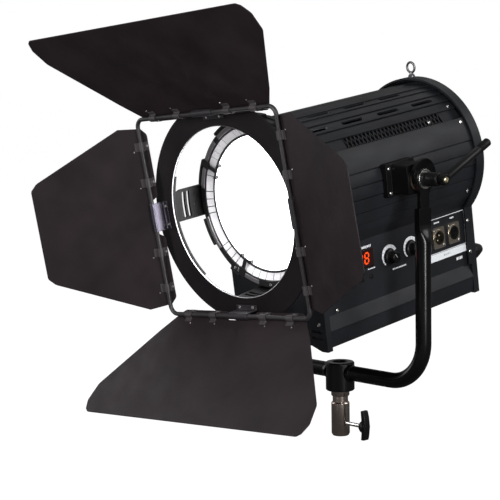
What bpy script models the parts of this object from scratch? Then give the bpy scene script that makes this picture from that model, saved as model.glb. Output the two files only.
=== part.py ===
"""Fresnel spotlight with an LED engine: spigot, tube yoke, ribbed head and four-leaf barndoors.

World frame: metres, +Z up, the origin at the mouth of the spigot and +Z along its axis.
The lamp points along -Y and tips down a little at rest.
Head frame: X to the side with the control panel, Y up, Z along the beam, origin on the tilt axis.
"""

import math

import bmesh
import bpy
from mathutils import Vector

MM = 0.001
GAP = 0.3 * MM
OBJECT_NAME = "fresnel_spotlight"

# Spigot and its clamp screw
SPIGOT_RADIUS = 14 * MM
SPIGOT_TOP = 95 * MM
NECK_RADIUS = 11.5 * MM
NECK_RANGE = (49 * MM, 59 * MM)
STUD_BORE_RADIUS = 8.1 * MM
STUD_BORE_DEPTH = 40 * MM
CLAMP_HEIGHT = 19 * MM
CLAMP_SCREW_RADIUS = 4 * MM
CLAMP_SCREW_RANGE = (8.6 * MM, 40.4 * MM)
TEE_HUB_RADIUS = 7 * MM
TEE_INNER_FACE = 44 * MM
TEE_OUTER_FACE = 51.5 * MM
TEE_CROWN = 2.5 * MM
TEE_END = 23.5 * MM
TEE_THICKNESS = 12 * MM

# Yoke
SOCKET_RADIUS = 21 * MM
SOCKET_RANGE = (67 * MM, 109 * MM)
YOKE_TUBE_RADIUS = 11 * MM
CROSS_TUBE_HEIGHT = 94.3 * MM
YOKE_HALF_WIDTH = 158 * MM
YOKE_BEND_RADIUS = 60 * MM
YOKE_TUBE_TOP = 339 * MM
EAR_CENTRE = (2 * MM, 386.5 * MM)
EAR_RADIUS = 22.6 * MM
EAR_THICKNESS = 6 * MM
EAR_NECK_HALF_WIDTH = 9.5 * MM
PIVOT_HEIGHT = 381.1 * MM
NOSE_DOWN = math.radians(8.0)

# Tilt pivot stack, measured from the middle of the head outwards
PIVOT_BOLT_RADIUS = 5 * MM
BRACKET_FLANGE_SIZE = (22.5 * MM, 47 * MM, 60 * MM)
BRACKET_FLANGE_END = 119.5 * MM
BRACKET_BLOCK_SIZE = (38.6 * MM, 41.4 * MM, 40 * MM)
BRACKET_BLOCK_END = 148.6 * MM
BRACKET_RISE = 0.5 * MM
BOSS_RADIUS = 18.4 * MM
BOSS_END = 150 * MM
BOLT_HOLE_START = 124 * MM
FRICTION_DISC_RANGE = (150.3 * MM, 154.7 * MM)
WASHER_RANGE = (161.3 * MM, 163.3 * MM)
HUB_RANGE = (163.6 * MM, 188 * MM)
HUB_RADII = (10.4 * MM, 8.8 * MM)
WASHER_RADIUS = 13.5 * MM
LEVER_X = 194.5 * MM
LEVER_RADIUS = 5.6 * MM
LEVER_START = 5.4 * MM
LEVER_REACH = 97 * MM
LEVER_RISE = 47.5 * MM
LEVER_COLLAR_RADIUS = 7.6 * MM
LEVER_COLLAR_END = 198.3 * MM
LEVER_RECESS_RADIUS = 5.1 * MM
LEVER_RECESS_START = 194.4 * MM
LEVER_SCREW_RANGE = (198.6 * MM, 201.2 * MM)

# Casing, a round barrel on a narrower box, all in the head frame
BARREL_RADIUS = 112 * MM
BARREL_CENTRE = -3 * MM
WALL = 2.6 * MM
PANEL_X = 80 * MM
PANEL_FOOT = -169 * MM
FLARE = (86 * MM, -188 * MM)
CASING_FOOT = (82 * MM, -212 * MM)
FRONT_PLATE_RANGE = (137.8 * MM, 147.7 * MM)
FRONT_PLATE_RADIUS = 114.5 * MM
FRONT_PLATE_HALF_WIDTH = 87.5 * MM
FRONT_PLATE_FOOT = -214.6 * MM
FOOT_RELIEF = [(80 * MM, -216 * MM), (58 * MM, -208 * MM), (44 * MM, -192 * MM)]
REAR_PLATE_RANGE = (-190.8 * MM, -179.0 * MM)
REAR_RIM_FRONT = -173 * MM
REAR_RADIUS = 116 * MM
REAR_HALF_WIDTH = 85 * MM
REAR_FOOT = -213.5 * MM
TOP_COVER_RADIUS = 108 * MM
TOP_COVER_ANGLES = (41, 139)
GRILLE_ANGLES = (31.2, 40.8)
GRILLE_RADII = (103 * MM, 105 * MM)
GRILLE_RANGE = (-124 * MM, 76 * MM)
SLOT_LENGTH = 46 * MM
SLOT_WIDTH = 7 * MM
SLOT_PITCH = 74.5 * MM
SLOT_SHIFT = -12 * MM
SLOT_ROWS = ((53.6, 0), (70.6, 0.5), (109.4, 0.5), (126.4, 0))
REAR_LIP_SIZE = (2.4 * MM, 86 * MM, 10 * MM)
REAR_LIP_PLACE = (83.8 * MM, -125 * MM, -177 * MM)

# Optics
OPTICAL_AXIS_Y = -9 * MM
LENS_RADIUS = 97.2 * MM
LENS_CROWN = 9 * MM
LENS_OPENING_RADIUS = 93 * MM
LENS_SEAT_RADIUS = 97.6 * MM
LENS_CONE_RADIUS = 108.6 * MM
LENS_RING_RADIUS = 119 * MM
LENS_RING_RANGE = (148 * MM, 160 * MM)
LENS_CLIP_ANGLES = (62, 152, 243)
LENS_CLIP_SIZE = (20 * MM, 12 * MM, 1.6 * MM)
CLIP_FOOT_SIZE = (6 * MM, 10 * MM, 5.8 * MM)
CLIP_FOOT_RADIUS = 112 * MM
EAR_RING_RADII = (119.3 * MM, 126 * MM)
EAR_HOOK_RADIUS = 131 * MM
EAR_HALF_ANGLE = 10
EAR_FRONT = 211.1 * MM
EAR_SLOT_SIZE = (20 * MM, 37 * MM, 4.8 * MM)
EAR_SLOT_PLACES = (182 * MM, 190.4 * MM)

# Barndoors
DOOR_RING_INNER = 118 * MM
DOOR_RING_OUTER = 153 * MM
DOOR_RING_RANGE = (211.5 * MM, 215 * MM)
DOOR_ROLL = math.radians(4.4)
ROD_RADIUS = 3 * MM
ROD_HALF_SIZE = 139 * MM
ROD_CORNER = 12 * MM
ROD_Z = 234 * MM
LEAF_THICKNESS = 1.5 * MM
LEAF_NOTCH = ((32, 7), (32, -10))
LEAF_SHOULDER = ((118, -10), (126, -2))
FLARED_HALF = ((148, 25), (217.5, 121.5), (221.5, 148.5), (215.5, 163.5), (209.5, 167.5))
TAPERED_HALF = ((129.5, 30), (74.2, 157), (72, 160), (64, 168), (61.5, 168))
KNUCKLE_RADII = (3.35 * MM, 5.1 * MM)
KNUCKLE_PLACES = (-101 * MM, -50 * MM, 50 * MM, 101 * MM)
KNUCKLE_LENGTH = 9 * MM
LEAF_REST = {"top": 40.1, "left": 41.8, "bottom": 50.8, "right": 21.0}

# Controls on the panel side, as (along the beam, height)
DISPLAY_PLACE = (58 * MM, -107 * MM)
DISPLAY_SIZE = (56 * MM, 25 * MM)
KNOB_PLACES = {"dimmer_knob": (-3.6 * MM, -116.2 * MM), "colour_knob": (-50.6 * MM, -114.8 * MM)}
KNOB_RADIUS = 11 * MM
BUTTON_PLACES = {"address_button_up": (57 * MM, -135.6 * MM), "address_button_down": (38 * MM, -134.6 * MM)}
BUTTON_RADIUS = 2.6 * MM
CONNECTOR_PLACES = {"dmx_in": (-112.6 * MM, -113.6 * MM), "dmx_out": (-147 * MM, -113.6 * MM)}
FOCUS_PLACE = (64 * MM, -157 * MM)
FOCUS_KNOB_RADIUS = 13 * MM
FOCUS_KNOB_BORE = 4.4 * MM
FOCUS_KNOB_BORE_DEPTH = 14 * MM
FOCUS_KNOB_NOSE = ((13, 22), (12.4, 27), (11, 32), (8.6, 35.6), (5.4, 37.2), (0, 37.6))
INLET_PLACE = (-46 * MM, -150 * MM)
SWITCH_PLACE = (4 * MM, -150 * MM)

# LED engine
SINK_HALF_SIZE = 62 * MM
SINK_RANGE = (-40 * MM, 20 * MM)
GUIDE_ROD_PLACE = (54 * MM, -57 * MM)
GUIDE_ROD_RADIUS = 5 * MM
FAN_HALF_SIZE = 46 * MM
FAN_RANGE = (-187.4 * MM, -162.4 * MM)

ALONG_X = (0, math.pi / 2, 0)
ALONG_Y = (-math.pi / 2, 0, 0)

# Colour, roughness, metallic
LOOKS = {
    "black_paint": ((0.016, 0.017, 0.020), 0.48, 0.2),
    "door_paint": ((0.022, 0.017, 0.020), 0.42, 0.3),
    "yoke_paint": ((0.008, 0.008, 0.009), 0.25, 0.2),
    "black_plastic": ((0.010, 0.010, 0.011), 0.40, 0.0),
    "nickel": ((0.62, 0.60, 0.56), 0.28, 1.0),
    "zinc": ((0.66, 0.67, 0.68), 0.35, 1.0),
    "aluminium": ((0.78, 0.79, 0.80), 0.32, 1.0),
    "glass": ((0.95, 0.96, 1.00), 0.05, 0.0),
    "led_yellow": ((0.95, 0.80, 0.30), 0.40, 0.0),
    "display_red": ((0.10, 0.01, 0.01), 0.15, 0.0),
    "board_green": ((0.02, 0.16, 0.06), 0.50, 0.0),
    "fibre": ((0.22, 0.16, 0.10), 0.80, 0.0),
}


def clear_scene():
    for obj in list(bpy.data.objects):
        bpy.data.objects.remove(obj, do_unlink=True)


def new_collection(name, hidden=False):
    collection = bpy.data.collections.new(name)
    collection.hide_render = hidden
    bpy.context.scene.collection.children.link(collection)
    return collection


def make_looks():
    looks = {}
    for name, (colour, roughness, metallic) in LOOKS.items():
        material = bpy.data.materials.new(name)
        material.use_nodes = True
        shader = material.node_tree.nodes["Principled BSDF"]
        shader.inputs["Base Color"].default_value = (*colour, 1)
        shader.inputs["Roughness"].default_value = roughness
        shader.inputs["Metallic"].default_value = metallic
        looks[name] = material
    return looks


def add_empty(name, parent=None, location=(0, 0, 0), rotation=(0, 0, 0)):
    empty = bpy.data.objects.new(name, None)
    parts.objects.link(empty)
    empty.parent = parent
    empty.location = location
    empty.rotation_euler = rotation
    return empty


def add_object(name, data, look, parent, location=(0, 0, 0), rotation=(0, 0, 0)):
    """An object in the parts collection or, without a look, a cutter."""
    obj = bpy.data.objects.new(name, data)
    if look:
        obj.data.materials.append(looks[look])
        parts.objects.link(obj)
    else:
        cutters.objects.link(obj)
        obj.hide_render = True
        obj.display_type = "WIRE"
    obj.parent = parent
    obj.location = location
    obj.rotation_euler = rotation
    return obj


def smooth(mesh):
    mesh.shade_smooth()
    mesh.set_sharp_from_angle(angle=math.radians(35))


def mesh_from(bm, name):
    mesh = bpy.data.meshes.new(name)
    bm.to_mesh(mesh)
    bm.free()
    smooth(mesh)
    return mesh


def box(name, size, centre, look, parent, rotation=(0, 0, 0)):
    bm = bmesh.new()
    bmesh.ops.create_cube(bm, size=1)
    bmesh.ops.scale(bm, vec=size, verts=bm.verts)
    return add_object(name, mesh_from(bm, name), look, parent, centre, rotation)


def cylinder(name, radius, span, centre, look, parent, rotation=(0, 0, 0), sides=24, end_radius=None):
    """A cylinder or cone along its own Z, over span from centre."""
    bm = bmesh.new()
    bmesh.ops.create_cone(
        bm,
        cap_ends=True,
        segments=sides,
        radius1=radius,
        radius2=radius if end_radius is None else end_radius,
        depth=span[1] - span[0],
    )
    bmesh.ops.translate(bm, vec=(0, 0, (span[0] + span[1]) / 2), verts=bm.verts)
    return add_object(name, mesh_from(bm, name), look, parent, centre, rotation)


def signed_area(points):
    pairs = zip(points, points[1:] + points[:1])
    return sum(x0 * y1 - x1 * y0 for (x0, y0), (x1, y1) in pairs) / 2


def turned(name, profile, look, parent, location=(0, 0, 0), rotation=(0, 0, 0), sides=48):
    """A closed (radius, height) profile turned about its own Z. A solid's profile touches the axis twice."""
    if signed_area(profile) > 0:
        profile = profile[::-1]
    solid = min(radius for radius, _ in profile) == 0
    if solid:
        on_axis = [i for i, (radius, _) in enumerate(profile) if radius == 0]
        start = on_axis[0] if on_axis[1] - on_axis[0] > 1 else on_axis[1]
        profile = profile[start:] + profile[:start]
    bm = bmesh.new()
    verts = [bm.verts.new((radius, 0, height)) for radius, height in profile]
    for first, second in zip(verts, verts[1:]):
        bm.edges.new((first, second))
    if not solid:
        bm.edges.new((verts[-1], verts[0]))
    obj = add_object(name, mesh_from(bm, name), look, parent, location, rotation)
    screw = obj.modifiers.new("turn", "SCREW")
    screw.axis = "Z"
    screw.angle = math.tau
    screw.steps = sides
    screw.render_steps = sides
    screw.use_merge_vertices = True
    screw.merge_threshold = 0.00001
    screw.use_smooth_shade = False
    return obj


def sector(name, profile, half_angle, turn, look, parent, location=(0, 0, 0), steps=6):
    """A closed (radius, height) profile swept about Z by half_angle each side of turn, in degrees."""
    bm = bmesh.new()
    start = math.radians(turn - half_angle)
    verts = [
        bm.verts.new((radius * math.cos(start), radius * math.sin(start), height))
        for radius, height in profile
    ]
    face = bm.faces.new(verts)
    bmesh.ops.spin(
        bm,
        geom=[*verts, *face.edges, face],
        cent=(0, 0, 0),
        axis=(0, 0, 1),
        angle=math.radians(2 * half_angle),
        steps=steps,
    )
    bmesh.ops.remove_doubles(bm, verts=bm.verts, dist=0.000001)
    bmesh.ops.recalc_face_normals(bm, faces=bm.faces)
    return add_object(name, mesh_from(bm, name), look, parent, location)


def to_mesh_object(curve_object):
    """Replaces a curve object with the mesh that it makes, its caps welded."""
    bpy.context.view_layer.update()
    graph = bpy.context.evaluated_depsgraph_get()
    mesh = bpy.data.meshes.new_from_object(curve_object.evaluated_get(graph))
    bm = bmesh.new()
    bm.from_mesh(mesh)
    bmesh.ops.remove_doubles(bm, verts=bm.verts, dist=0.000001)
    bmesh.ops.recalc_face_normals(bm, faces=bm.faces)
    bm.to_mesh(mesh)
    bm.free()
    smooth(mesh)
    name = curve_object.name
    obj = bpy.data.objects.new(name + "_mesh", mesh)
    for collection in curve_object.users_collection:
        collection.objects.link(obj)
    obj.parent = curve_object.parent
    obj.location = curve_object.location
    obj.rotation_euler = curve_object.rotation_euler
    obj.hide_render = curve_object.hide_render
    obj.display_type = curve_object.display_type
    bpy.data.objects.remove(curve_object, do_unlink=True)
    obj.name = name
    return obj


def flat(name, outlines, span, look, parent, location=(0, 0, 0), rotation=(0, 0, 0)):
    """A flat outline, with any holes after it, extruded along its own Z over span."""
    curve = bpy.data.curves.new(name, "CURVE")
    curve.dimensions = "2D"
    curve.fill_mode = "BOTH"
    curve.extrude = (span[1] - span[0]) / 2
    middle = (span[0] + span[1]) / 2
    for outline in outlines:
        spline = curve.splines.new("POLY")
        spline.points.add(len(outline) - 1)
        for point, (x, y) in zip(spline.points, outline):
            point.co = (x, y, 0, 1)
        spline.use_cyclic_u = True
    obj = to_mesh_object(add_object(name, curve, look, parent, (0, 0, 0), rotation))
    for vertex in obj.data.vertices:
        vertex.co.z += middle
    obj.location = location
    return obj


def tube(name, points, radius, look, parent, closed=False):
    curve = bpy.data.curves.new(name, "CURVE")
    curve.dimensions = "3D"
    curve.bevel_depth = radius
    curve.bevel_resolution = 3
    curve.use_fill_caps = not closed
    spline = curve.splines.new("POLY")
    spline.points.add(len(points) - 1)
    for point, place in zip(spline.points, points):
        point.co = (*place, 1)
    spline.use_cyclic_u = closed
    return to_mesh_object(add_object(name, curve, look, parent))


def boolean(obj, other, operation):
    modifier = obj.modifiers.new(operation.lower() + "_" + other.name, "BOOLEAN")
    modifier.operation = operation
    modifier.object = other
    modifier.solver = "EXACT"


def cut(obj, *others):
    for other in others:
        boolean(obj, other, "DIFFERENCE")


def join(obj, *others):
    for other in others:
        boolean(obj, other, "UNION")


def arc(centre, radius, start, end, steps):
    """Points on a circle from start to end, in degrees, both ends included."""
    angles = [math.radians(start + (end - start) * i / steps) for i in range(steps + 1)]
    return [(centre[0] + radius * math.cos(a), centre[1] + radius * math.sin(a)) for a in angles]


def wall_outline(line, thickness):
    """The outline of a wall that has this line as its outer face and lies on the line's left."""
    inner = []
    for i, point in enumerate(line):
        here = Vector(point)
        before = (here - Vector(line[i - 1])).normalized() if i else None
        after = (Vector(line[i + 1]) - here).normalized() if i + 1 < len(line) else None
        sides = [Vector((-d.y, d.x)) for d in (before, after) if d]
        normal = sum(sides, Vector((0, 0))).normalized()
        inner.append(tuple(here + normal * thickness / normal.dot(sides[0])))
    return [tuple(point) for point in line] + inner[::-1]


def mirrored(line):
    return [(-x, y) for x, y in line][::-1]


def keyhole(radius, half_width, foot, steps=36):
    """A round top on a straight-sided box, anticlockwise."""
    meet = math.degrees(math.acos(half_width / radius))
    top = arc((0, BARREL_CENTRE), radius, -meet, 180 + meet, steps)
    return top + [(-half_width, foot), (half_width, foot)]


def circle(centre, radius, steps=32):
    return arc(centre, radius, 0, 360 - 360 / steps, steps - 1)


def make_spigot():
    profile = [
        (STUD_BORE_RADIUS, 0),
        (SPIGOT_RADIUS, 0),
        (SPIGOT_RADIUS, NECK_RANGE[0]),
        (NECK_RADIUS, NECK_RANGE[0] + 2 * MM),
        (NECK_RADIUS, NECK_RANGE[1] - 2 * MM),
        (SPIGOT_RADIUS, NECK_RANGE[1]),
        (SPIGOT_RADIUS, SPIGOT_TOP - 2 * MM),
        (SPIGOT_RADIUS - 2 * MM, SPIGOT_TOP),
        (0, SPIGOT_TOP),
        (0, STUD_BORE_DEPTH),
        (STUD_BORE_RADIUS, STUD_BORE_DEPTH),
    ]
    spigot = turned("spigot_adapter", profile, "zinc", spigot_frame, sides=32)
    side_hole = cylinder(
        "clamp_hole_cutter",
        CLAMP_SCREW_RADIUS + GAP,
        (4 * MM, 20 * MM),
        (0, 0, CLAMP_HEIGHT),
        None,
        spigot_frame,
        ALONG_X,
    )
    cut(spigot, side_hole)
    cylinder("clamp_screw", CLAMP_SCREW_RADIUS, CLAMP_SCREW_RANGE, (0, 0, 0), "nickel", clamp_axis, ALONG_X)
    inner, outer = TEE_INNER_FACE, TEE_OUTER_FACE
    wing = [(inner, -TEE_END), (outer, -TEE_END), (outer + TEE_CROWN, 0), (outer, TEE_END), (inner, TEE_END)]
    handle = flat(
        "clamp_handle",
        [wing],
        (-TEE_THICKNESS / 2, TEE_THICKNESS / 2),
        "black_plastic",
        clamp_axis,
        rotation=(math.pi / 2, 0, 0),
    )
    hub = cylinder(
        "clamp_handle_hub",
        TEE_HUB_RADIUS,
        (CLAMP_SCREW_RANGE[1] + GAP, TEE_INNER_FACE + 4 * MM),
        (0, 0, 0),
        None,
        clamp_axis,
        ALONG_X,
    )
    join(handle, hub)


def yoke_route(sign):
    start = Vector((sign * (SOCKET_RADIUS - 2 * MM), 0, CROSS_TUBE_HEIGHT))
    corner = (sign * (YOKE_HALF_WIDTH - YOKE_BEND_RADIUS), CROSS_TUBE_HEIGHT + YOKE_BEND_RADIUS)
    bend = arc((0, 0), YOKE_BEND_RADIUS, -90, 0, 8)
    route = [start]
    route += [Vector((corner[0] + sign * x, 0, corner[1] + z)) for x, z in bend]
    route.append(Vector((sign * YOKE_HALF_WIDTH, 0, YOKE_TUBE_TOP)))
    return route


def make_yoke():
    profile = [
        (SPIGOT_RADIUS + GAP, SOCKET_RANGE[0]),
        (SOCKET_RADIUS, SOCKET_RANGE[0]),
        (SOCKET_RADIUS, SOCKET_RANGE[1]),
        (SPIGOT_RADIUS + GAP, SOCKET_RANGE[1]),
    ]
    turned("yoke_socket", profile, "yoke_paint", pan_axis, sides=32)
    for side, sign in SIDES.items():
        arm = tube("yoke_arm_" + side, yoke_route(sign), YOKE_TUBE_RADIUS, "yoke_paint", pan_axis)
        saddle = cylinder(
            "socket_cutter_" + side,
            SOCKET_RADIUS + GAP,
            SOCKET_RANGE,
            (0, 0, 0),
            None,
            pan_axis,
            sides=32,
        )
        outline = arc(EAR_CENTRE, EAR_RADIUS, -40, 220, 24)
        outline += [
            (-EAR_NECK_HALF_WIDTH, YOKE_TUBE_TOP + 8 * MM),
            (-EAR_NECK_HALF_WIDTH, YOKE_TUBE_TOP - 12 * MM),
            (EAR_NECK_HALF_WIDTH, YOKE_TUBE_TOP - 12 * MM),
            (EAR_NECK_HALF_WIDTH, YOKE_TUBE_TOP + 8 * MM),
        ]
        hole = circle((0, PIVOT_HEIGHT), PIVOT_BOLT_RADIUS + GAP, 20)
        ear = flat(
            "yoke_ear_" + side,
            [outline, hole],
            (-EAR_THICKNESS / 2, EAR_THICKNESS / 2),
            None,
            pan_axis,
            (sign * YOKE_HALF_WIDTH, 0, 0),
            (math.pi / 2, 0, math.pi / 2),
        )
        join(arm, ear)
        cut(arm, saddle)
        turned(
            "friction_disc_" + side,
            ring_profile(PIVOT_BOLT_RADIUS + GAP, 17 * MM, FRICTION_DISC_RANGE, sign),
            "fibre",
            pivot_frame,
            rotation=ALONG_X,
            sides=28,
        )


def ring_profile(inner, outer, span, sign=1):
    low, high = (span[0] * sign, span[1] * sign)
    return [(inner, low), (outer, low), (outer, high), (inner, high)]


def make_pivots():
    for side, sign in SIDES.items():
        bracket = box(
            "tilt_bracket_" + side,
            BRACKET_FLANGE_SIZE,
            (sign * (BRACKET_FLANGE_END - BRACKET_FLANGE_SIZE[0] / 2), BRACKET_RISE, 0),
            "black_paint",
            head_frame,
        )
        block = box(
            "tilt_block_" + side,
            BRACKET_BLOCK_SIZE,
            (sign * (BRACKET_BLOCK_END - BRACKET_BLOCK_SIZE[0] / 2), BRACKET_RISE, 0),
            None,
            head_frame,
        )
        boss = cylinder(
            "tilt_boss_" + side,
            BOSS_RADIUS,
            (BOSS_END - 5 * MM, BOSS_END),
            (0, 0, 0),
            None,
            head_frame,
            (0, sign * math.pi / 2, 0),
            sides=28,
        )
        bolt_hole = cylinder(
            "tilt_bolt_cutter_" + side,
            PIVOT_BOLT_RADIUS + GAP,
            (BOLT_HOLE_START, BOSS_END + 10 * MM),
            (0, 0, 0),
            None,
            head_frame,
            (0, sign * math.pi / 2, 0),
        )
        barrel = cylinder(
            "barrel_cutter_" + side,
            BARREL_RADIUS + GAP,
            (-60 * MM, 60 * MM),
            (0, BARREL_CENTRE, 0),
            None,
            head_frame,
            sides=72,
        )
        join(bracket, block, boss)
        cut(bracket, barrel, bolt_hole)
        shank = (BOLT_HOLE_START + 0.5 * MM, HUB_RANGE[1] - 2 * MM if sign > 0 else WASHER_RANGE[1] + 8.7 * MM)
        bolt = cylinder(
            "pivot_bolt_" + side,
            PIVOT_BOLT_RADIUS,
            shank,
            (0, 0, 0),
            "zinc",
            head_frame,
            (0, sign * math.pi / 2, 0),
            sides=20,
        )
        if sign < 0:
            bolt_head = cylinder(
                "bolt_head_" + side,
                9 * MM,
                (WASHER_RANGE[0], 170 * MM),
                (0, 0, 0),
                None,
                head_frame,
                (0, sign * math.pi / 2, 0),
                sides=6,
            )
            join(bolt, bolt_head)


def make_tilt_lever():
    turned(
        "lever_washer",
        ring_profile(PIVOT_BOLT_RADIUS + GAP, WASHER_RADIUS, WASHER_RANGE),
        "zinc",
        pivot_frame,
        rotation=ALONG_X,
        sides=28,
    )
    hub_profile = [
        (PIVOT_BOLT_RADIUS + GAP, HUB_RANGE[0]),
        (HUB_RADII[0], HUB_RANGE[0]),
        (HUB_RADII[1], HUB_RANGE[1]),
        (2.3 * MM, HUB_RANGE[1]),
        (2.3 * MM, HUB_RANGE[1] - 1.5 * MM),
        (PIVOT_BOLT_RADIUS + GAP, HUB_RANGE[1] - 1.5 * MM),
    ]
    turned("tilt_lever_hub", hub_profile, "black_plastic", lever_frame, rotation=ALONG_X, sides=24)
    screw = cylinder("lever_screw", 4.6 * MM, LEVER_SCREW_RANGE, (0, 0, 0), "nickel", lever_frame, ALONG_X, sides=16)
    shank_span = (HUB_RANGE[1] - 1 * MM, LEVER_SCREW_RANGE[0] + 0.4 * MM)
    shank = cylinder("lever_screw_shank", 2 * MM, shank_span, (0, 0, 0), None, lever_frame, ALONG_X, sides=12)
    join(screw, shank)
    collar_profile = [
        (2.3 * MM, HUB_RANGE[1] + GAP),
        (LEVER_COLLAR_RADIUS, HUB_RANGE[1] + GAP),
        (LEVER_COLLAR_RADIUS, LEVER_COLLAR_END),
        (LEVER_RECESS_RADIUS, LEVER_COLLAR_END),
        (LEVER_RECESS_RADIUS, LEVER_RECESS_START),
        (2.3 * MM, LEVER_RECESS_START),
    ]
    collar = turned("tilt_lever", collar_profile, "black_plastic", lever_frame, rotation=ALONG_X, sides=24)
    length = math.hypot(LEVER_REACH, LEVER_RISE)
    handle = cylinder(
        "tilt_lever_handle",
        LEVER_RADIUS,
        (LEVER_START, length),
        (LEVER_X, 0, 0),
        None,
        lever_frame,
        (-math.atan2(LEVER_REACH, LEVER_RISE), 0, 0),
        sides=20,
    )
    join(collar, handle)


def side_line():
    """The outer face of a side casing, from the vent channel down to the bottom edge."""
    meet = math.degrees(math.acos(PANEL_X / BARREL_RADIUS))
    line = arc((0, BARREL_CENTRE), BARREL_RADIUS, -meet, GRILLE_ANGLES[0] - 0.4, 14)[::-1]
    return line + [(PANEL_X, PANEL_FOOT), FLARE, CASING_FOOT]


def make_casing():
    span = (REAR_PLATE_RANGE[1] + GAP, FRONT_PLATE_RANGE[0] - GAP)
    middle = (span[0] + span[1]) / 2
    top_arc = arc((0, BARREL_CENTRE), TOP_COVER_RADIUS, TOP_COVER_ANGLES[1], TOP_COVER_ANGLES[0], 14)
    top = flat("top_cover", [wall_outline(top_arc[::-1], WALL)], span, "black_paint", head_frame)
    for row, (angle, shift) in enumerate(SLOT_ROWS):
        turn = math.radians(angle)
        place = (TOP_COVER_RADIUS * math.cos(turn), BARREL_CENTRE + TOP_COVER_RADIUS * math.sin(turn))
        for i in range(4):
            along = (1.5 - i - shift) * SLOT_PITCH + SLOT_SHIFT
            if along - SLOT_LENGTH / 2 < span[0] + 10 * MM:
                continue
            slot = box(
                f"vent_slot_{row}_{i}",
                (12 * MM, SLOT_WIDTH, SLOT_LENGTH),
                (*place, along),
                None,
                head_frame,
                (0, 0, turn),
            )
            cut(top, slot)
    for side, sign in SIDES.items():
        line = side_line() if sign > 0 else mirrored(side_line())
        casing = flat("side_casing_" + side, [wall_outline(line[::-1], WALL)], span, "black_paint", head_frame)
        middle_angle = sum(GRILLE_ANGLES) / 2
        half_angle = (GRILLE_ANGLES[1] - GRILLE_ANGLES[0]) / 2 + 1.2
        profile = [
            (GRILLE_RADII[0], span[0] + GAP),
            (GRILLE_RADII[1], span[0] + GAP),
            (GRILLE_RADII[1], span[1] - GAP),
            (GRILLE_RADII[0], span[1] - GAP),
        ]
        turn = middle_angle if sign > 0 else 180 - middle_angle
        grille = sector(
            "vent_grille_" + side, profile, half_angle, turn, "black_paint", head_frame, (0, BARREL_CENTRE, 0), 3
        )
        slots = 10
        for i in range(slots):
            along = GRILLE_RANGE[0] + (i + 0.5) * (GRILLE_RANGE[1] - GRILLE_RANGE[0]) / slots
            radius = sum(GRILLE_RADII) / 2
            at = math.radians(turn)
            place = (radius * math.cos(at), BARREL_CENTRE + radius * math.sin(at), along)
            slot = box(f"grille_slot_{side}_{i}", (10 * MM, 13 * MM, 14 * MM), place, None, head_frame, (0, 0, at))
            cut(grille, slot)
        if sign > 0:
            cut_panel(casing)
    floor_half_width = CASING_FOOT[0] - WALL - 1 * MM
    box(
        "bottom_plate",
        (2 * floor_half_width, 2 * MM, span[1] - span[0]),
        (0, CASING_FOOT[1] + 1 * MM, middle),
        "black_paint",
        head_frame,
    )


def cut_panel(casing):
    """The openings of the control panel."""
    depth = 12 * MM
    along, height = DISPLAY_PLACE
    size = (depth, DISPLAY_SIZE[1] + 2 * GAP, DISPLAY_SIZE[0] + 2 * GAP)
    cut(casing, box("display_cutter", size, (PANEL_X, height, along), None, head_frame))
    holes = [(place, 3.6 * MM) for place in KNOB_PLACES.values()]
    holes += [(place, BUTTON_RADIUS + GAP) for place in BUTTON_PLACES.values()]
    holes += [(place, 12 * MM) for place in CONNECTOR_PLACES.values()]
    for i, ((along, height), radius) in enumerate(holes):
        hole = cylinder(
            f"panel_hole_{i}",
            radius,
            (PANEL_X - depth / 2, PANEL_X + depth / 2),
            (0, height, along),
            None,
            head_frame,
            ALONG_X,
        )
        cut(casing, hole)


def make_front_plate():
    outline = keyhole(FRONT_PLATE_RADIUS, FRONT_PLATE_HALF_WIDTH, FRONT_PLATE_FOOT)
    opening = circle((0, OPTICAL_AXIS_Y), LENS_OPENING_RADIUS, 48)
    foot_relief = FOOT_RELIEF + mirrored(FOOT_RELIEF)
    plate = flat("front_plate", [outline, opening], FRONT_PLATE_RANGE, "black_paint", head_frame)
    relief = flat(
        "foot_relief_cutter",
        [foot_relief],
        (FRONT_PLATE_RANGE[0] - 2 * MM, FRONT_PLATE_RANGE[1] + 2 * MM),
        None,
        head_frame,
    )
    cut(plate, relief)
    for sign in (-1, 1):
        for i in range(3):
            slot = box(
                f"front_vent_{sign}_{i}",
                (20 * MM, 4 * MM, 20 * MM),
                (sign * 66 * MM, -176 * MM - i * 9 * MM, sum(FRONT_PLATE_RANGE) / 2),
                None,
                head_frame,
            )
            cut(plate, slot)


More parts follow.
